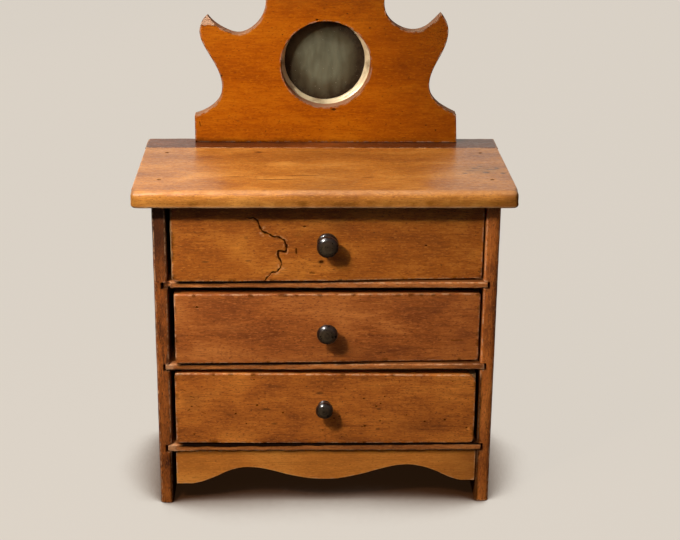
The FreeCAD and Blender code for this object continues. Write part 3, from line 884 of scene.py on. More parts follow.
def top_board(material):
    """The front board of the top, with its nosing, nails and dents."""
    low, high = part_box("top_board")
    nails = [(x, y, high.z) for x, y in nail_places()]
    ring = np.linspace(-1.6, 1.6, 9) * MM
    extra = [np.concatenate([n[axis] + ring for n in nails]) for axis in (0, 1)] + [()]
    extra[1] = np.concatenate([extra[1], low.y + LIP * np.array((0.25, 0.5, 0.75, 1))])
    dents = [(nail, 1.15, 0.5, 0.75) for nail in nails]
    rng = np.random.default_rng(5)
    for _ in range(26):
        place = (rng.uniform(low.x, high.x), rng.uniform(low.y, high.y), high.z)
        dents.append((place, rng.uniform(1.5, 4.0), rng.uniform(0.04, 0.12), 0.0))

    def unbroken_nose(points, edge, grime_and_shade):
        """The nosing has no arris to wear except its two ends."""
        x, y, z = points.T
        ends = np.minimum(x - low.x, high.x - x) / MM
        in_front = y < low.y + 8 * MM
        edge = np.where(in_front, 0.7 + 2 * ends, edge)
        # the lower half of the nosing is darker
        low_nose_dark = ease((high.z - 4.0 * MM - z) / (3 * MM)) * in_front
        ragged = 0.75 + 0.5 * noise(points, 5, 7)
        at_end = ease(1.3 - ends / 3) * in_front
        return points, edge, np.maximum(grime_and_shade, np.maximum(0.5 * low_nose_dark, 0.45 * at_end) * ragged)

    def nose_highlight(points):
        """Painted highlights: a pale band on the upper half of the nosing, where the lamps' highlight
        falls, and a pale line along its lower lip, where it catches light.
        """
        _, y, z = points.T
        turn = np.degrees(np.arctan2(z - high.z + NOSE, low.y + NOSE - y))
        upper = ease(1.5 - np.abs(turn - 58) / 22) * (y < low.y + 8 * MM)
        lip = ease(1.8 - np.abs(z - low.z - 0.6 * MM) / (0.5 * MM))
        lip *= y < low.y + 1 * MM
        patchy = 0.8 + 0.4 * noise(points, 4, 8)
        return np.clip(0.42 * upper * (0.8 + 0.3 * noise(points, 2.2, 9)) + 0.9 * lip * patchy, 0, 1)

    # the nosing's upper band and lower lip line are painted highlights
    board("top_board", material, "carcass", 101, step=(1.8, 2.2, 1.2), wave=0.08,
          zones=((2.8, 2.8), (4.6, 0.4), (2.6, 4.6)), radius_at=nosing_radii, extra=extra,
          shape=unbroken_nose, dents=dents, bare_and_highlight_at=nose_highlight, uneven=0.2)


def nail_places():
    """(x, y) of the four nails in the top, from the box of their group."""
    low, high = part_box("top_nails")
    inset = NAIL_INSET["top_nails"]
    return [(x, y) for x in (low.x + inset, high.x - inset) for y in (low.y + inset, high.y - inset)]


def strip_radii(points):
    """Sharp at the joint, round along the rear edge."""
    rear = points[:, 1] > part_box("top_rear_strip")[1].y - 8 * MM
    return radii_with(points, 0.6, rear, (0, 1), 2.6)


def rear_strip(material):
    """The narrow board of the top, under the mirror panel."""
    board("top_rear_strip", material, "carcass", 102, step=(2.5, 2.5, 2.5),
          zones=((2.6, 2.6), (0.5, 2.6), (0.6, 0.6)), radius_at=strip_radii)


def side_board(node, is_left, material, seed, soot_below):
    """A side: half-round front edge, and the three slots that the shelves lie in. Below a
    height in millimetres dirt lies along its inner arris."""
    low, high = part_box(node)
    slots = []
    for shelf in SHELVES:
        shelf_low, shelf_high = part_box(shelf)
        end = shelf_low.x - SHELF_END_GAP if is_left else shelf_high.x + SHELF_END_GAP
        slots.append((shelf_low.z - SLOT_UNDER, shelf_high.z + SLOT_OVER, end))
    beside = np.array((-0.7, -0.3, -0.02, 0.02, 0.3, 0.7)) * MM
    lines = np.concatenate([z + beside for slot in slots for z in slot[:2]])
    inner_round, outer_round = 2.4, 3.8
    rounds = (outer_round, inner_round) if is_left else (inner_round, outer_round)

    def radii(points):
        in_front = points[:, 1] < (low.y + high.y) / 2
        nearer_left = points[:, 0] < (low.x + high.x) / 2
        return radii_with(points, 0.5, in_front, (0, 1), np.where(nearer_left, *rounds)[in_front])

    def slotted(points, edge, grime_and_shade):
        for bottom, top, end in slots:
            x, z = points[:, 0], points[:, 2]
            beyond = x > end if is_left else x < end
            at_slot = (z > bottom) & (z < top)
            rim = np.minimum(np.abs(z - bottom), np.abs(z - top)) / MM
            edge = np.where(beyond & ~at_slot & (rim < 3), np.minimum(edge, rim + 0.1), edge)
            cut = beyond & at_slot
            points[cut, 0] = end
            grime_and_shade = np.where(cut, 0.92, grime_and_shade)
            deep = beyond & (rim < 0.1)
            grime_and_shade = np.where(deep, 0.55, grime_and_shade)
        inner = points[:, 0] - high.x if is_left else low.x - points[:, 0]
        soot_and_shadow = ease(inner / (1.2 * MM) + 1.9 + 0.4 * noise(points, 6, seed + 7))
        soot_and_shadow *= ease((soot_below * MM - points[:, 2]) / (8 * MM))
        return points, edge, np.maximum(grime_and_shade, 0.85 * soot_and_shadow)

    board(node, material, "carcass", seed, step=(1.5, 3.5, 1.3), wave=0.16,
          zones=(rounds, (outer_round, 0.5), (0.5, 0.5)), radius_at=radii,
          extra=((), low.y + np.array((0.3, 0.8, 1.6)) * MM, lines), shape=slotted, uneven=0.12)


def shelf_board(node, material, seed, worn_back, shadow_band, broken_end=0.0):
    """A shelf whose nosing is worn back by this much at its left end. Along its upper edge lies a
    painted shadow of the drawer face above, whose width is given as a pair: at the left, and
    added everywhere. Its left end may be broken off behind the front by broken_end."""
    low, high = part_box(node)
    end = low.x + SHELF_END_SHOWS

    def radii(points):
        made = radii_with(points, 0.5, points[:, 1] < low.y + 10 * MM, (1, 2), 1.5)
        made[:, 0] = 0.7 * MM
        return made

    def worn_nose(points, edge, grime_and_shade):
        x, y, z = points.T
        share = (x - low.x) / (high.x - low.x)
        back = worn_back * MM * (1 - ease(share / 0.8)) * ease((x - end) / (2 * MM))
        back += 0.25 * MM * lumps(points, 9, seed + 4)
        back += broken_end * MM * ease((end - x) / (0.7 * MM) + 0.5)
        near_front = ease(1.6 - (y - low.y) / (6 * MM))
        to_left = 1 - ease(share / 0.8)
        uneven = 1 + 0.3 * noise(points, 7, seed + 5)
        down = (high.z - z) / MM
        # painted shadow of the drawer face above: near black at the top of the nosing, with a dimmer
        # fringe below, widest at the left
        black = ease((shadow_band[0] * to_left + shadow_band[1] - down / uneven) / 0.35 + 0.5)
        dim = 0.55 * ease((1.7 * to_left * shadow_band[0] - down / uneven) / 0.8 + 0.5)
        soot_and_shadow = np.maximum(black, dim) * ease((x - end - 1.5 * MM) / (3 * MM))
        y += back * near_front
        return points, edge, np.maximum(grime_and_shade, soot_and_shadow * ease(1.5 - (y - low.y) / (4 * MM)))

    def bare_end(points):
        """The ends are rubbed to bare wood where they stand proud in their slots."""
        x, y, _ = points.T
        left = ease((end + 1.5 * MM - x) / (2 * MM))
        at_front = ease(1.5 - (y - low.y) / (3 * MM))
        return 0.65 * left * at_front * (0.7 + 0.3 * noise(points, 1.5, seed + 6))

    corner = end + np.array((-0.8, -0.4, 0, 0.4, 0.8)) * MM
    board(node, material, "carcass", seed, step=(1.5, 6, 0.7), wave=0.12,
          zones=((0.7, 0.7), (1.5, 0.5), (1.5, 1.5)), radius_at=radii, extra=(corner, (), ()),
          shape=worn_nose, bare_and_highlight_at=bare_end, uneven=0.6)


def under_edge(node):
    """Height of a CAD node's lower edge as a function of x, found by looking up at it."""
    mesh = bmesh.new()
    mesh.from_mesh(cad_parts[node].data)
    tree = BVHTree.FromBMesh(mesh)
    low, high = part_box(node)
    middle = (low.y + high.y) / 2
    xs = np.linspace(low.x + 0.05 * MM, high.x - 0.05 * MM, 260)
    heights = []
    for x in xs:
        hit = tree.ray_cast(Vector((x, middle, low.z - 0.01)), Vector((0, 0, 1)))[0]
        heights.append(hit.z)
    mesh.free()
    return lambda x: np.interp(x, xs, heights)


def apron(material):
    """The apron: a straight board bent to its sawn lower edge, with painted shade under the bottom
    board.
    """
    low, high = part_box("apron")
    lower = under_edge("apron")

    def arched(points, edge, grime_and_shade):
        x, y, z = points.T
        foot = lower(x)
        share = (z - low.z) / (high.z - low.z)
        points[:, 2] = foot + share * (high.z - foot)
        # painted shade under the bottom board's bead, along the top of the apron's front
        bead_shadow = ease(1.25 - (high.z - z) / (3 * MM))
        return points, edge, np.maximum(grime_and_shade, 0.5 * bead_shadow * (y < low.y + 1 * MM))

    board("apron", material, "carcass", 107, step=(1.4, 1.6, 1.6), wave=0.12,
          radius=0.5, shape=arched)


def glue_blocks(material):
    """The three blocks behind the apron, as one piece."""
    low, high = (np.array(corner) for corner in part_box("apron_glue_blocks"))
    length = 22 * MM
    middle = (low[0] + high[0]) / 2
    points, faces, edge = [], [], []
    total = 0
    for start in (low[0], middle - length / 2, high[0] - length):
        first = np.array((start, low[1], low[2]))
        last = np.array((start + length, high[1], high[2]))
        round_off = 0.6 * MM
        lines = [cuts(first[i], last[i], (round_off, round_off), 2.5 * MM) for i in range(3)]
        block, quads = lattice(*lines)
        edge.append(arris_distance(block, first, last))
        points.append(soften(block, first, last, np.full_like(block, round_off)))
        faces.append(quads + total)
        total += len(block)
    piece("worn_glue_blocks", np.concatenate(points), np.concatenate(faces), material, "carcass",
          ["apron_glue_blocks"], np.concatenate(edge))


def back_board(material):
    """The back, with its nails sunk in."""
    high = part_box("back_board")[1]
    low_nails, high_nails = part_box("back_nails")
    inset, rows = NAIL_INSET["back_nails"], 4
    columns = (low_nails.x + inset, high_nails.x - inset)
    heights = np.linspace(low_nails.z + inset, high_nails.z - inset, rows)
    nails = [(x, high.y, z) for x in columns for z in heights]
    ring = np.array((-1.0, -0.7, -0.35, 0, 0.35, 0.7, 1.0)) * MM
    extra = [np.concatenate([n[0] + ring for n in nails]), (),
             np.concatenate([n[2] + ring for n in nails])]
    board("back_board", material, "carcass", 108, step=(4, 2.2, 4), wave=0.2,
          extra=extra, dents=[(nail, 0.95, 0.4, 0.9) for nail in nails])


# ---- drawers ----
def rounded(low, high, radii, step):
    """An anticlockwise rectangle whose corners have these radii, from the lower left one on."""
    corners = ((low[0], low[1], 180), (high[0], low[1], 270), (high[0], high[1], 0),
               (low[0], high[1], 90))
    loop = []
    for (x, z, start), radius in zip(corners, radii):
        centre = np.array((x + (radius if x == low[0] else -radius),
                           z + (radius if z == low[1] else -radius)))
        for t in np.linspace(start, start + 90, max(3, round(radius * 1.6 / step) + 1)):
            turn = math.radians(t)
            loop.append(centre + radius * np.array((math.cos(turn), math.sin(turn))))
    return resample(np.array(loop), step)


def resample(loop, step):
    """Points about step apart along a closed loop, keeping the ones that are closer."""
    made = []
    for a, b in zip(loop, np.roll(loop, -1, 0)):
        count = max(1, round(np.linalg.norm(b - a) / step))
        made += [a + (b - a) * t for t in np.arange(count) / count]
    return np.array(made)


# How each face has shrunk and warped, in millimetres: how far its foot has risen and its top
# edge sunk at its left end, middle and right end, how far it is short at the left, and how
# far its right end leans in.
WARP = {"upper": ((0.0, 0.15, 1.5), (0.0, 0.0, 0.0), 0.65, 1.8),
        "middle": ((0.0, 0.35, 1.3), (1.4, 1.5, 1.5), 0.0, 1.5),
        "lower": ((0.8, 0.1, 0.0), (0.0, 0.8, 1.8), 0.0, 0.0)}


def drawer_face(drawer, corners, material, marks, seed):
    """A warped drawer face: corners are the radii of its outline, from the lower left one on."""
    low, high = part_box(f"{drawer}_drawer_face")
    risen, sunk, short, lean = WARP[drawer]
    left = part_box(f"{drawer}_drawer_left_side")
    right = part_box(f"{drawer}_drawer_right_side")
    loop = rounded((low.x, low.z), (high.x, high.z), [c * MM for c in corners], 0.8 * MM)
    solid = upright(loop)
    ragged = 0.1 + 0.1 * noise(solid, 11, seed) + 0.05 * noise(solid, 2.5, seed + 1)
    loop = loop + inward(loop) * (np.maximum(ragged, 0) * MM)[:, None]
    across = (loop[:, 0] - low.x) / (high.x - low.x)
    upwards = (loop[:, 1] - low.z) / (high.z - low.z)
    ends = (0, 0.5, 1)
    loop[:, 1] += (1 - upwards) * np.interp(across, ends, risen) * MM
    loop[:, 1] -= upwards * np.interp(across, ends, sunk) * MM
    loop[:, 0] += (1 - across) * short * MM
    points, faces, edge, _ = plate(
        [loop], low.y, high.y, (0.9 * MM, 0.3 * MM), 1.7 * MM, seed, marks.fine(),
        (left[0].y, left[1].x, right[0].x))
    x, y, _ = points.T
    flat = points[:, [0, 2]]
    depth, grime_and_shade, bare_and_highlight = marks.carve(flat)
    depth = depth + 0.12 * MM * lumps(points, 16, seed + 2) * ease(edge / 2)
    facing = np.clip(1 - (y - low.y) / (2.2 * MM), 0, 1)
    dirty_arris = ease(noise(points, 3.5, seed + 4) * 4 - 1) * ease(1.8 - edge / 0.8)
    grime_and_shade = np.maximum(grime_and_shade, 0.6 * dirty_arris)
    y += depth * facing
    before_sides = np.clip((left[0].y - y) / (left[0].y - low.y), 0, 1)
    y += lean * MM * before_sides * (x - low.x) / (high.x - low.x)
    piece(f"worn_{drawer}_face", points, faces, material, f"{drawer}_drawer",
          [f"{drawer}_drawer_face"], edge, grime_and_shade * facing, bare_and_highlight * facing)


def drawer_box(drawer, lining, seed):
    """The sides, back and bottom of a drawer."""
    body = f"{drawer}_drawer"
    for number, part in enumerate(("left_side", "right_side", "back", "bottom")):
        board(f"{body}_{part}", lining, body, seed + number, step=(3.5, 3.5, 3.5),
              radius=0.45, wave=0.1)


# (radius, height above the face) from the tenon's end to the middle of the head, in runs between
# the corners that the lathe left
TENON = (((0, -2), (2.2, -2)), ((2.2, -1.2),))
KNOB_PROFILES = {
    "upper": (
        ((6.0, -1.2), (6.2, 0), (6.15, 0.6), (5.6, 1.1), (4.4, 1.7), (3.5, 2.7), (3.3, 3.8),
         (3.8, 4.9), (5.2, 5.8), (6.35, 6.4), (6.7, 7.1), (6.65, 7.9), (6.3, 8.6), (5.6, 9.2),
         (4.8, 9.7), (4.5, 9.8)),
        ((4.3, 9.77), (4.1, 9.85)), ((3.0, 10.1), (1.9, 10.2)), ((1.75, 10.16), (1.6, 10.22)),
        ((0.8, 10.3), (0, 10.32))),
    "middle": (
        ((3.5, -1.2), (3.6, 0), (3.7, 0.7), (3.3, 1.4), (2.9, 2.4), (3.1, 3.4), (4.3, 4.4),
         (5.8, 5.4), (6.5, 6.4), (6.4, 7.4), (5.9, 8.2), (5.2, 8.8), (4.4, 9.3), (4.1, 9.42)),
        ((3.9, 9.4), (3.7, 9.5)), ((2.6, 9.75), (1.5, 9.9)), ((1.35, 9.86), (1.2, 9.92)),
        ((0.6, 10.0), (0, 10.02))),
    "lower": (
        ((4.0, -1.2), (4.1, 0), (4.2, 0.8), (3.7, 1.5), (3.1, 2.3), (3.2, 3.2), (4.2, 4.1),
         (5.2, 5.2), (5.6, 6.2), (5.5, 7.2), (5.0, 8.2), (4.3, 8.9), (3.5, 9.4), (2.6, 9.75),
         (2.3, 9.85)),
        ((2.1, 9.82), (1.9, 9.9)), ((1.0, 10.05), (0, 10.1)))}


def knob(drawer, material, seed):
    """A turned knob; its front carries a painted reflection of the room, paler at its lower left and
    darker at its upper right, in rings of the turning.
    """
    node = f"{drawer}_drawer_knob"
    low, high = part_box(node)
    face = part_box(f"{drawer}_drawer_face")[0].y
    centre = ((low.x + high.x) / 2, face, (low.z + high.z) / 2)
    profile = flow(TENON + KNOB_PROFILES[drawer], 0.25) * MM
    points, faces = turned(profile, centre, wobble=0.06 * MM, seed=seed)
    points = np.clip(points, low, high)
    _, y, _ = points.T
    sideways, up = ((points[:, i] - centre[i]) / (high.x - centre[0]) for i in (0, 2))
    front = ease((face - y) / (1 * MM) - 7.6)
    # painted reflection on the front face: fading out near its rim, darker towards the upper right, in
    # rings
    face_reflection = front * ease((0.84 - np.hypot(sideways, up)) / 0.16)
    face_reflection *= 1 - 0.55 * ease(0.45 + 0.6 * (sideways + up))
    face_reflection *= 0.76 + 0.24 * np.cos(np.hypot(sideways, up) * math.tau / 0.42)
    piece(f"turned_{drawer}_knob", points, faces, material, f"{drawer}_drawer",
          [node], bare_and_highlight=face_reflection)


# ---- mirror panel ----
HOLE_SQUASH, HOLE_RISE = 0.965, 0.4 * MM    # how the hole has shrunk across the grain
HORN_X, HORN_TOP, BREAK_SLOPE = -64, 77.4, 0.85    # the left horn is broken above this height


def front_outlines(node):
    """The closed outlines of a CAD node's front face, as (x, z) points, the longest first."""
    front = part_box(node)[0].y
    mesh = bmesh.new()
    mesh.from_mesh(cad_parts[node].data)
    bmesh.ops.remove_doubles(mesh, verts=mesh.verts, dist=1e-6)
    follow = {}
    for face in mesh.faces:
        if face.normal.y < -0.99 and abs(face.calc_center_median().y - front) < 1e-5:
            for loop in face.loops:
                mates = [f for f in loop.edge.link_faces if f is not face]
                if not mates or mates[0].normal.y > -0.99:
                    start, end = loop.vert, loop.link_loop_next.vert
                    follow[tuple(start.co)] = tuple(end.co)
    mesh.free()
    outlines = []
    while follow:
        start, here = follow.popitem()
        line = [start]
        while here != start:
            line.append(here)
            here = follow.pop(here)
        outlines.append(np.array(line)[:, [0, 2]])
    return sorted(outlines, key=len, reverse=True)


def smooth_outline(loop, step, corner=24):
    """A closed outline redrawn as smooth runs between its corners, in points about step apart."""
    before = loop - np.roll(loop, 1, 0)
    after = np.roll(loop, -1, 0) - loop
    turn = np.degrees(np.abs(np.arctan2(
        before[:, 0] * after[:, 1] - before[:, 1] * after[:, 0], (before * after).sum(1))))
    corners = np.nonzero(turn > corner)[0]
    if len(corners) == 0:
        return flow([np.concatenate([loop, loop[:1]])], step)[:-1]
    loop = np.roll(loop, -corners[0], 0)
    marks = list(corners - corners[0]) + [len(loop)]
    made = []
    closed = np.concatenate([loop, loop[:1]])
    for start, end in zip(marks, marks[1:]):
        made.append(flow([closed[start:end + 1]], step)[:-1])
    return np.concatenate(made)


def mirror_panel(material, seed=120):
    """The sawn panel: sawn edges painted pale where they face up, a painted highlight, a dark arris,
    dirt along its foot and a broken horn.

    Its hole has shrunk a little across the grain.
    """
    low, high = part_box("mirror_panel")
    outer, hole = front_outlines("mirror_panel")[:2]
    middle = hole.mean(0)
    hole = middle + (hole - middle) * (1, HOLE_SQUASH) + (0, HOLE_RISE)
    loops = [smooth_outline(outer, 0.8 * MM), smooth_outline(hole, 0.8 * MM)]
    marks = Marks((0, low.z), seed, scratches=((-80.4, 14.3, -79.5, 10.2, 0.35, 0.25),),
                  pits=((-3.6, 81.0, 0.8, 0.5), (7.8, 22.2, 1.1, 0.6), (-65.6, 44.3, 0.8, 0.7),
                        (75.0, 8.4, 0.5, 0.3), (68.6, 11.8, 0.5, 0.3)))
    horn = np.array((-73.5 * MM, low.z + 79.5 * MM))
    closer = marks.fine() + [(horn[None], 6 * MM, 0.5 * MM)]
    points, faces, edge, upward = plate(loops, low.y, high.y, (0.7 * MM, 0.5 * MM), 1.9 * MM,
                                        seed, closer)
    x, y, z = points.T
    flat = points[:, [0, 2]]
    depth, grime_and_shade, bare_and_highlight = marks.carve(flat)
    depth = depth + 0.14 * MM * lumps(points, 18, seed + 2) * ease(edge / 2)
    facing = np.clip(1 - (y - low.y) / (2.2 * MM), 0, 1)
    arris = ease(1.3 - edge / 0.5) * lumps(points, 6, seed + 6)
    height = (z - low.z) / MM
    to_right = ease((x - low.x) / (high.x - low.x))
    foot = ease(1.4 - height / (2.0 + noise(points, 9, seed + 7))) * (0.75 - 0.5 * to_right)
    grime_and_shade = np.maximum(np.maximum(grime_and_shade, 0.75 * arris), foot) * facing
    y += depth * facing

    above = height - HORN_TOP - 0.4 * noise(points, 2.5, seed + 8)
    broken = (above > 0) & (x < HORN_X * MM)
    slope = low.y + BREAK_SLOPE * above * MM
    cut = broken & (y < slope)
    points[cut, 1] = slope[cut]
    # painted highlight: the sawn edges that face up are painted pale; the broken face of the horn is
    # bare wood
    bare_and_highlight = np.maximum(0.75 * upward * (0.8 + 0.2 * noise(points, 4, seed + 9)), 0.8 * cut)
    at_break = (x < HORN_X * MM) * ease(1 - np.abs(above + 0.3) / 0.5) * facing
    grime_and_shade = np.maximum(grime_and_shade * ~cut, 0.8 * at_break)
    piece("worn_mirror_panel", points, faces, material, "carcass",
          ["mirror_panel"], edge, grime_and_shade, bare_and_highlight)


def mirror(rim_metal, silver, tin):
    """The pressed rim, the old glass and the backing disc. The rolled face of the rim hangs a
    little to the left."""
    sheet, rolled_width, hangs_left = 0.7, 4.9, 0.6
    low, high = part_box("mirror_rim")
    centre = ((low.x + high.x) / 2, low.y, (low.z + high.z) / 2)
    outer = (high.x - low.x) / 2 / MM
    deep = (high.y - low.y) / MM
    seat = (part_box("mirror_glass")[0].y - low.y) / MM
    lip = outer - rolled_width
    ring = [[(outer, 0.3), (outer, deep)], [(outer - sheet, deep)], [(outer - sheet, seat)],
            [(lip, seat)],
            [(lip, seat - 0.35), (lip + 0.4, seat - 0.8), (lip + 1.0, 1.7), (lip + 1.3, 1.6),
             (lip + 1.7, 1.2), (lip + 2.5, 0.5), (outer - 1.6, 0.1), (outer - 0.6, 0.0), (outer, 0.3)]]
    profile = flow(ring, 0.3)[:-1] * MM * (1, -1)
    points, faces = turned(profile, centre, closed=True, segments=96, wobble=0.08 * MM, seed=131)
    reach = np.hypot(points[:, 0] - centre[0], points[:, 2] - centre[2]) / MM
    points[:, 0] -= hangs_left * MM * ease((outer - 1.2 - reach) / 2)
    points = np.clip(points, low, high)
    piece("pressed_rim", points, faces, rim_metal, "carcass", ["mirror_rim"])

    disc("mirror_glass", "old_glass", silver)
    disc("mirror_backing", "tin_disc", tin)


def disc(node, name, material):
    """A round sheet with eased edges. Its edge layer is the distance from the rim's opening."""
    low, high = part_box(node)
    centre = ((low.x + high.x) / 2, low.y, (low.z + high.z) / 2)
    radius, thick = (high.x - low.x) / 2, high.y - low.y
    bevel = min(0.3 * MM, thick / 3)
    shares = np.linspace(0, radius - bevel, 18)
    front = [(r, 0) for r in shares] + [(radius, bevel), (radius, thick - bevel)]
    profile = np.array(front + [(r, thick) for r in shares[::-1]]) * (1, -1)
    points, faces = turned(profile[::-1], centre, segments=96)
    # the painted shade of the glass is measured from a point 2 mm left of its middle
    reach = np.hypot(points[:, 0] - centre[0] + 2 * MM, points[:, 2] - centre[2])
    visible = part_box("mirror_rim")[1].x - centre[0] - 4.4 * MM
    piece(name, points, faces, material, "carcass", [node],
          np.maximum(visible - reach, 0) / MM)


# ---- colours and marks ----
WORN = (206, 160, 120)
# stains and knots of the top: centre, half sizes, strength, softness
TOP_MARKS = (
    ((86.9, -24.7, 211), (2.2, 1.6, 3), 0.75, 0.4), ((94.3, -13.4, 211), (2.8, 1.4, 3), 0.6, 0.4),
    ((98.0, -8.7, 211), (2.4, 1.4, 3), 0.6, 0.4), ((100.1, -22.5, 211), (3.0, 2.0, 3), 0.75, 0.4),
    ((108.1, -13.3, 211), (2.0, 3.0, 3), 0.6, 0.4), ((110.4, -24.7, 211), (2.2, 2.2, 3), 0.7, 0.4),
    ((103.5, -16.0, 211), (5.0, 2.0, 3), 0.5, 0.5), ((91, -19, 211), (4.0, 2.0, 3), 0.45, 0.5),
    ((98, -17, 211), (18, 13, 3), 0.42, 0.9), ((20, -66, 200), (150, 3, 3.4), 0.3, 1.0),
    ((113, -64, 205), (9, 5, 8), 0.6, 1.0), ((-41, 24.4, 211), (3.4, 2.2, 3), 0.85, 0.5),
    ((-24, -3, 211), (15, 7, 3), -0.95, 1.0), ((27, -34, 211), (5, 1.5, 3), 0.6, 0.5),
    ((-30, -39, 211), (20, 1.4, 3), 0.85, 0.8), ((-14, -30, 211), (17, 0.9, 3), 0.7, 0.6),
    ((-52, -33, 211), (15, 0.9, 3), 0.65, 0.6), ((10, 20, 211), (60, 12, 3), 0.3, 1.2),
    ((-10, 26, 211), (25, 3, 3), 0.4, 1.0))
# painted shade: the panel is darkened towards its upper right, where the lamp's light falls off
PANEL_FALLOFF_SHADE = (((100, 50, 300), (95, 60, 82), 0.9, 1.28), ((98, 50, 230), (70, 60, 60), 0.5, 1.28),
               ((10, 50, 334), (80, 60, 44), 0.95, 1.0))
# the left side is darker at its top
LEFT_MARKS = (((-105, -54, 178), (30, 60, 34), 0.9, 0.8), ((-105, -54, 188), (30, 60, 24), 0.6, 1.0))
FACE_TONES = {
    "upper": tones((116, 54, 13), (164, 89, 22), (206, 128, 46), WORN),
    "middle": tones((108, 50, 19), (163, 88, 33), (200, 120, 55), WORN),
    "lower": tones((112, 52, 17), (182, 100, 33), (220, 134, 53), WORN)}
FACE_CORNERS = {"upper": (3.0, 2.6, 2.0, 2.8), "middle": (2.0, 2.4, 1.5, 1.0),
                "lower": (2.2, 3.0, 6.5, 1.6)}
CRACK = ((-48.0, 40.8), (-42.6, 40.8), (-40.5, 38.9), (-39.4, 35.3), (-37.9, 32.3),
         (-31.8, 29.2), (-27.4, 28.4), (-24.1, 25.7), (-22.7, 21.8), (-23.8, 19.1),
         (-28.2, 19.5), (-28.2, 16.1), (-26.3, 12.9), (-26.4, 9.0), (-29.0, 6.3),
         (-32.3, 5.5), (-34.9, 2.4), (-36.4, 0.0))
FACE_MARKS = {
    "upper": {"cracks": ((CRACK, 0.62, 0.8),),
              "scratches": ((-17.1, 17.2, -17.2, 21.8, 0.7, 0.5), (-9.6, 5.5, -5.4, 5.2, 0.55, 0.35)),
              "pits": ((-12.3, 35.0, 0.7, 0.4), (-2.2, 12.6, 1.0, 0.25), (61.7, 22.8, 0.6, 0.8),
                       (-12.0, 23.5, 0.5, 0.3))},
    "middle": {"scratches": ((78.1, 14.8, 87.5, 14.9, 0.25, 0.2), (20.0, 41.0, 34.0, 40.2, 0.15, 0.12)),
               "pits": ((-78.0, 37.4, 0.8, 0.8),)},
    "lower": {"scratches": tuple((x, z, x + 3.4, z - 1.6, 0.2, 0.15) for x, z in (
                  (-89.0, 38.0), (-84.0, 33.5), (-80.5, 27.0), (-77.0, 22.5), (-86.0, 24.0))),
              "pits": ((90.6, 10.6, 0.6, 0.3),), "scatter": (26, (-88, 3), (92, 45), (0.35, 0.7), 0.2)}}
# stains on each face: (x, height above the foot of the face), half sizes, strength, softness
FACE_STAINS = {
    "upper": (((9, 37), (9, 9), 0.35, 1.0), ((-72.5, 12.9), (3.0, 0.7), 0.5, 0.3),
              ((-47.5, 28.2), (1.6, 1.2), 0.35, 0.3), ((-46.5, 13.5), (2.2, 0.7), 0.6, 0.3),
              ((-2.2, 12.6), (2.6, 1.9), 0.6, 0.5), ((-16, 30), (5, 2), 0.3, 0.8),
              ((70, 40), (22, 4), 0.25, 1.0)),
    "middle": (((30, 8), (40, 6), 0.25, 1.2), ((-60, 24), (20, 5), -0.3, 1.0),
               ((60, 36), (14, 2), 0.3, 0.8)),
    "lower": (((-36.0, 24), (3.5, 1.0), 0.6, 0.4), ((-31.0, 14), (2.6, 0.9), 0.55, 0.4),
              ((-2.5, 35), (3.0, 1.2), 0.6, 0.4), ((34.8, 23.8), (1.6, 0.9), 0.6, 0.3),
              ((34.4, 10.0), (1.8, 0.9), 0.6, 0.3), ((-82, 30), (9, 9), 0.3, 1.0),
              ((60, 12), (24, 6), 0.25, 1.0), ((91.8, 10.0), (1.3, 1.3), -1.0, 0.3))}


# ---- the scene ----
make_camera()
make_world()
make_lights()
make_floor()
bpy.context.scene.view_settings.view_transform = "Standard"

left_wood = wood("left_side_wood", tones((62, 28, 12), (138, 72, 25), (176, 98, 40), WORN), 2, 11,
                 contrast=1.4, speck=2.0, spots=LEFT_MARKS)
right_wood = wood("right_side_wood", tones((100, 48, 18), (178, 96, 36), (216, 128, 56), WORN), 2, 13,
                  contrast=1.1, speck=1.6)
level = wood("shelf_wood", tones((112, 60, 24), (172, 100, 46), (206, 128, 64), WORN), 0, 15, wear=0.9)
pale = wood("apron_wood", tones((164, 92, 30), (204, 122, 45), (226, 146, 62), WORN), 0, 18,
            contrast=0.9, spots=(((104, -54, 24), (36, 60, 44), 0.5, 1.25),))
top_wood = wood("top_wood", tones((132, 72, 26), (182, 112, 38), (220, 150, 68), WORN), 0, 21,
                gloss=0.5, wear=1.3, spots=TOP_MARKS)
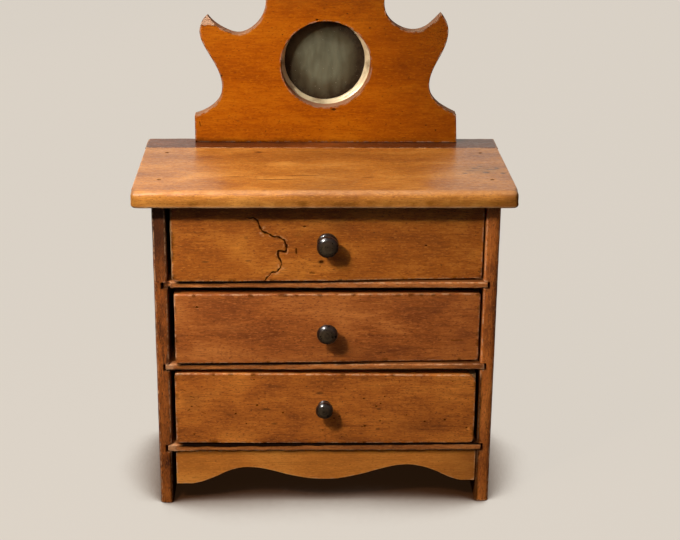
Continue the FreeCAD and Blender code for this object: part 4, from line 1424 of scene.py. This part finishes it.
# its spot darkens the right end of the strip: a painted shadow of the mirror panel
strip_wood = wood("strip_wood", tones((56, 24, 8), (98, 46, 12), (140, 74, 28), WORN), 0, 26,
                  gloss=0.5, spots=(((96, 50, 211), (40, 20, 9), 0.7, 1.2),))
panel_wood = wood("panel_wood", tones((118, 50, 0), (154, 75, 0), (182, 104, 10), (168, 138, 114)),
                  0, 31, gloss=0.03, sheen=0.06, rough=0.5, contrast=0.8, spots=PANEL_FALLOFF_SHADE)
raw = bare_wood("raw_pine", (linear(128, 96, 62), linear(176, 140, 98)), 2, 41)
lining = bare_wood("drawer_lining", (linear(132, 98, 60), linear(182, 144, 98)), 1, 45)
iron = metal("old_iron", (0.8, 71, 4), ((0.4, linear(58, 40, 30)), (0.62, linear(116, 68, 38))),
             0.7, (0.35, 0.65, 0.45, 0.8), (0.5, 0.1 * MM))
lacquered = metal("rim_metal", (9, 81, 5), ((0.32, linear(150, 128, 96)), (0.5, linear(206, 188, 150))),
                  0.25, (0.3, 0.7, 0.3, 0.44), (0.15, 0.05 * MM), finish=(0.6, 82, 3))
tin = metal("backing_tin", (7, 96, 5), ((0.4, linear(96, 84, 70)), (0.6, linear(158, 152, 142))),
            0.8, (0.3, 0.7, 0.4, 0.65), (0.3, 0.3 * MM))
black = knob_material()

top_board(top_wood)
rear_strip(strip_wood)
side_board("left_side", True, left_wood, 103, soot_below=40)
side_board("right_side", False, right_wood, 104, soot_below=92)
shelf_board("bottom_board", level, 110, worn_back=0.4, shadow_band=(0.9, 0.8))
shelf_board("lower_divider", level, 111, worn_back=0.8, shadow_band=(1.1, 0.0))
shelf_board("upper_divider", level, 112, worn_back=1.4, shadow_band=(1.4, 0.0), broken_end=3.2)
apron(pale)
glue_blocks(raw)
back_board(raw)
mirror_panel(panel_wood)
mirror(lacquered, mirror_material(), tin)

for number, drawer in enumerate(FACE_TONES):
    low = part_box(f"{drawer}_drawer_face")[0]
    spots = [((x, 0, low.z / MM + z), (wide, 900, tall), strength, softness)
             for (x, z), (wide, tall), strength, softness in FACE_STAINS[drawer]]
    face_wood = wood(f"{drawer}_drawer_wood", FACE_TONES[drawer], 0, 50 + 10 * number,
                     spots=spots, speck=2.0 if drawer == "lower" else 1.0)
    marks = Marks((0, low.z), 200 + number, **FACE_MARKS[drawer])
    drawer_face(drawer, FACE_CORNERS[drawer], face_wood, marks, 210 + 10 * number)
    drawer_box(drawer, lining, 140 + 10 * number)
    knob(drawer, black, 170 + number)

brads = [f"{drawer}_drawer_brads" for drawer in FACE_TONES]
for node in ["top_nails", "back_nails", "mirror_tacks", "panel_dowels"] + brads:
    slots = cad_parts[node].data.materials
    slots.clear()
    slots.append(raw if node == "panel_dowels" else iron)
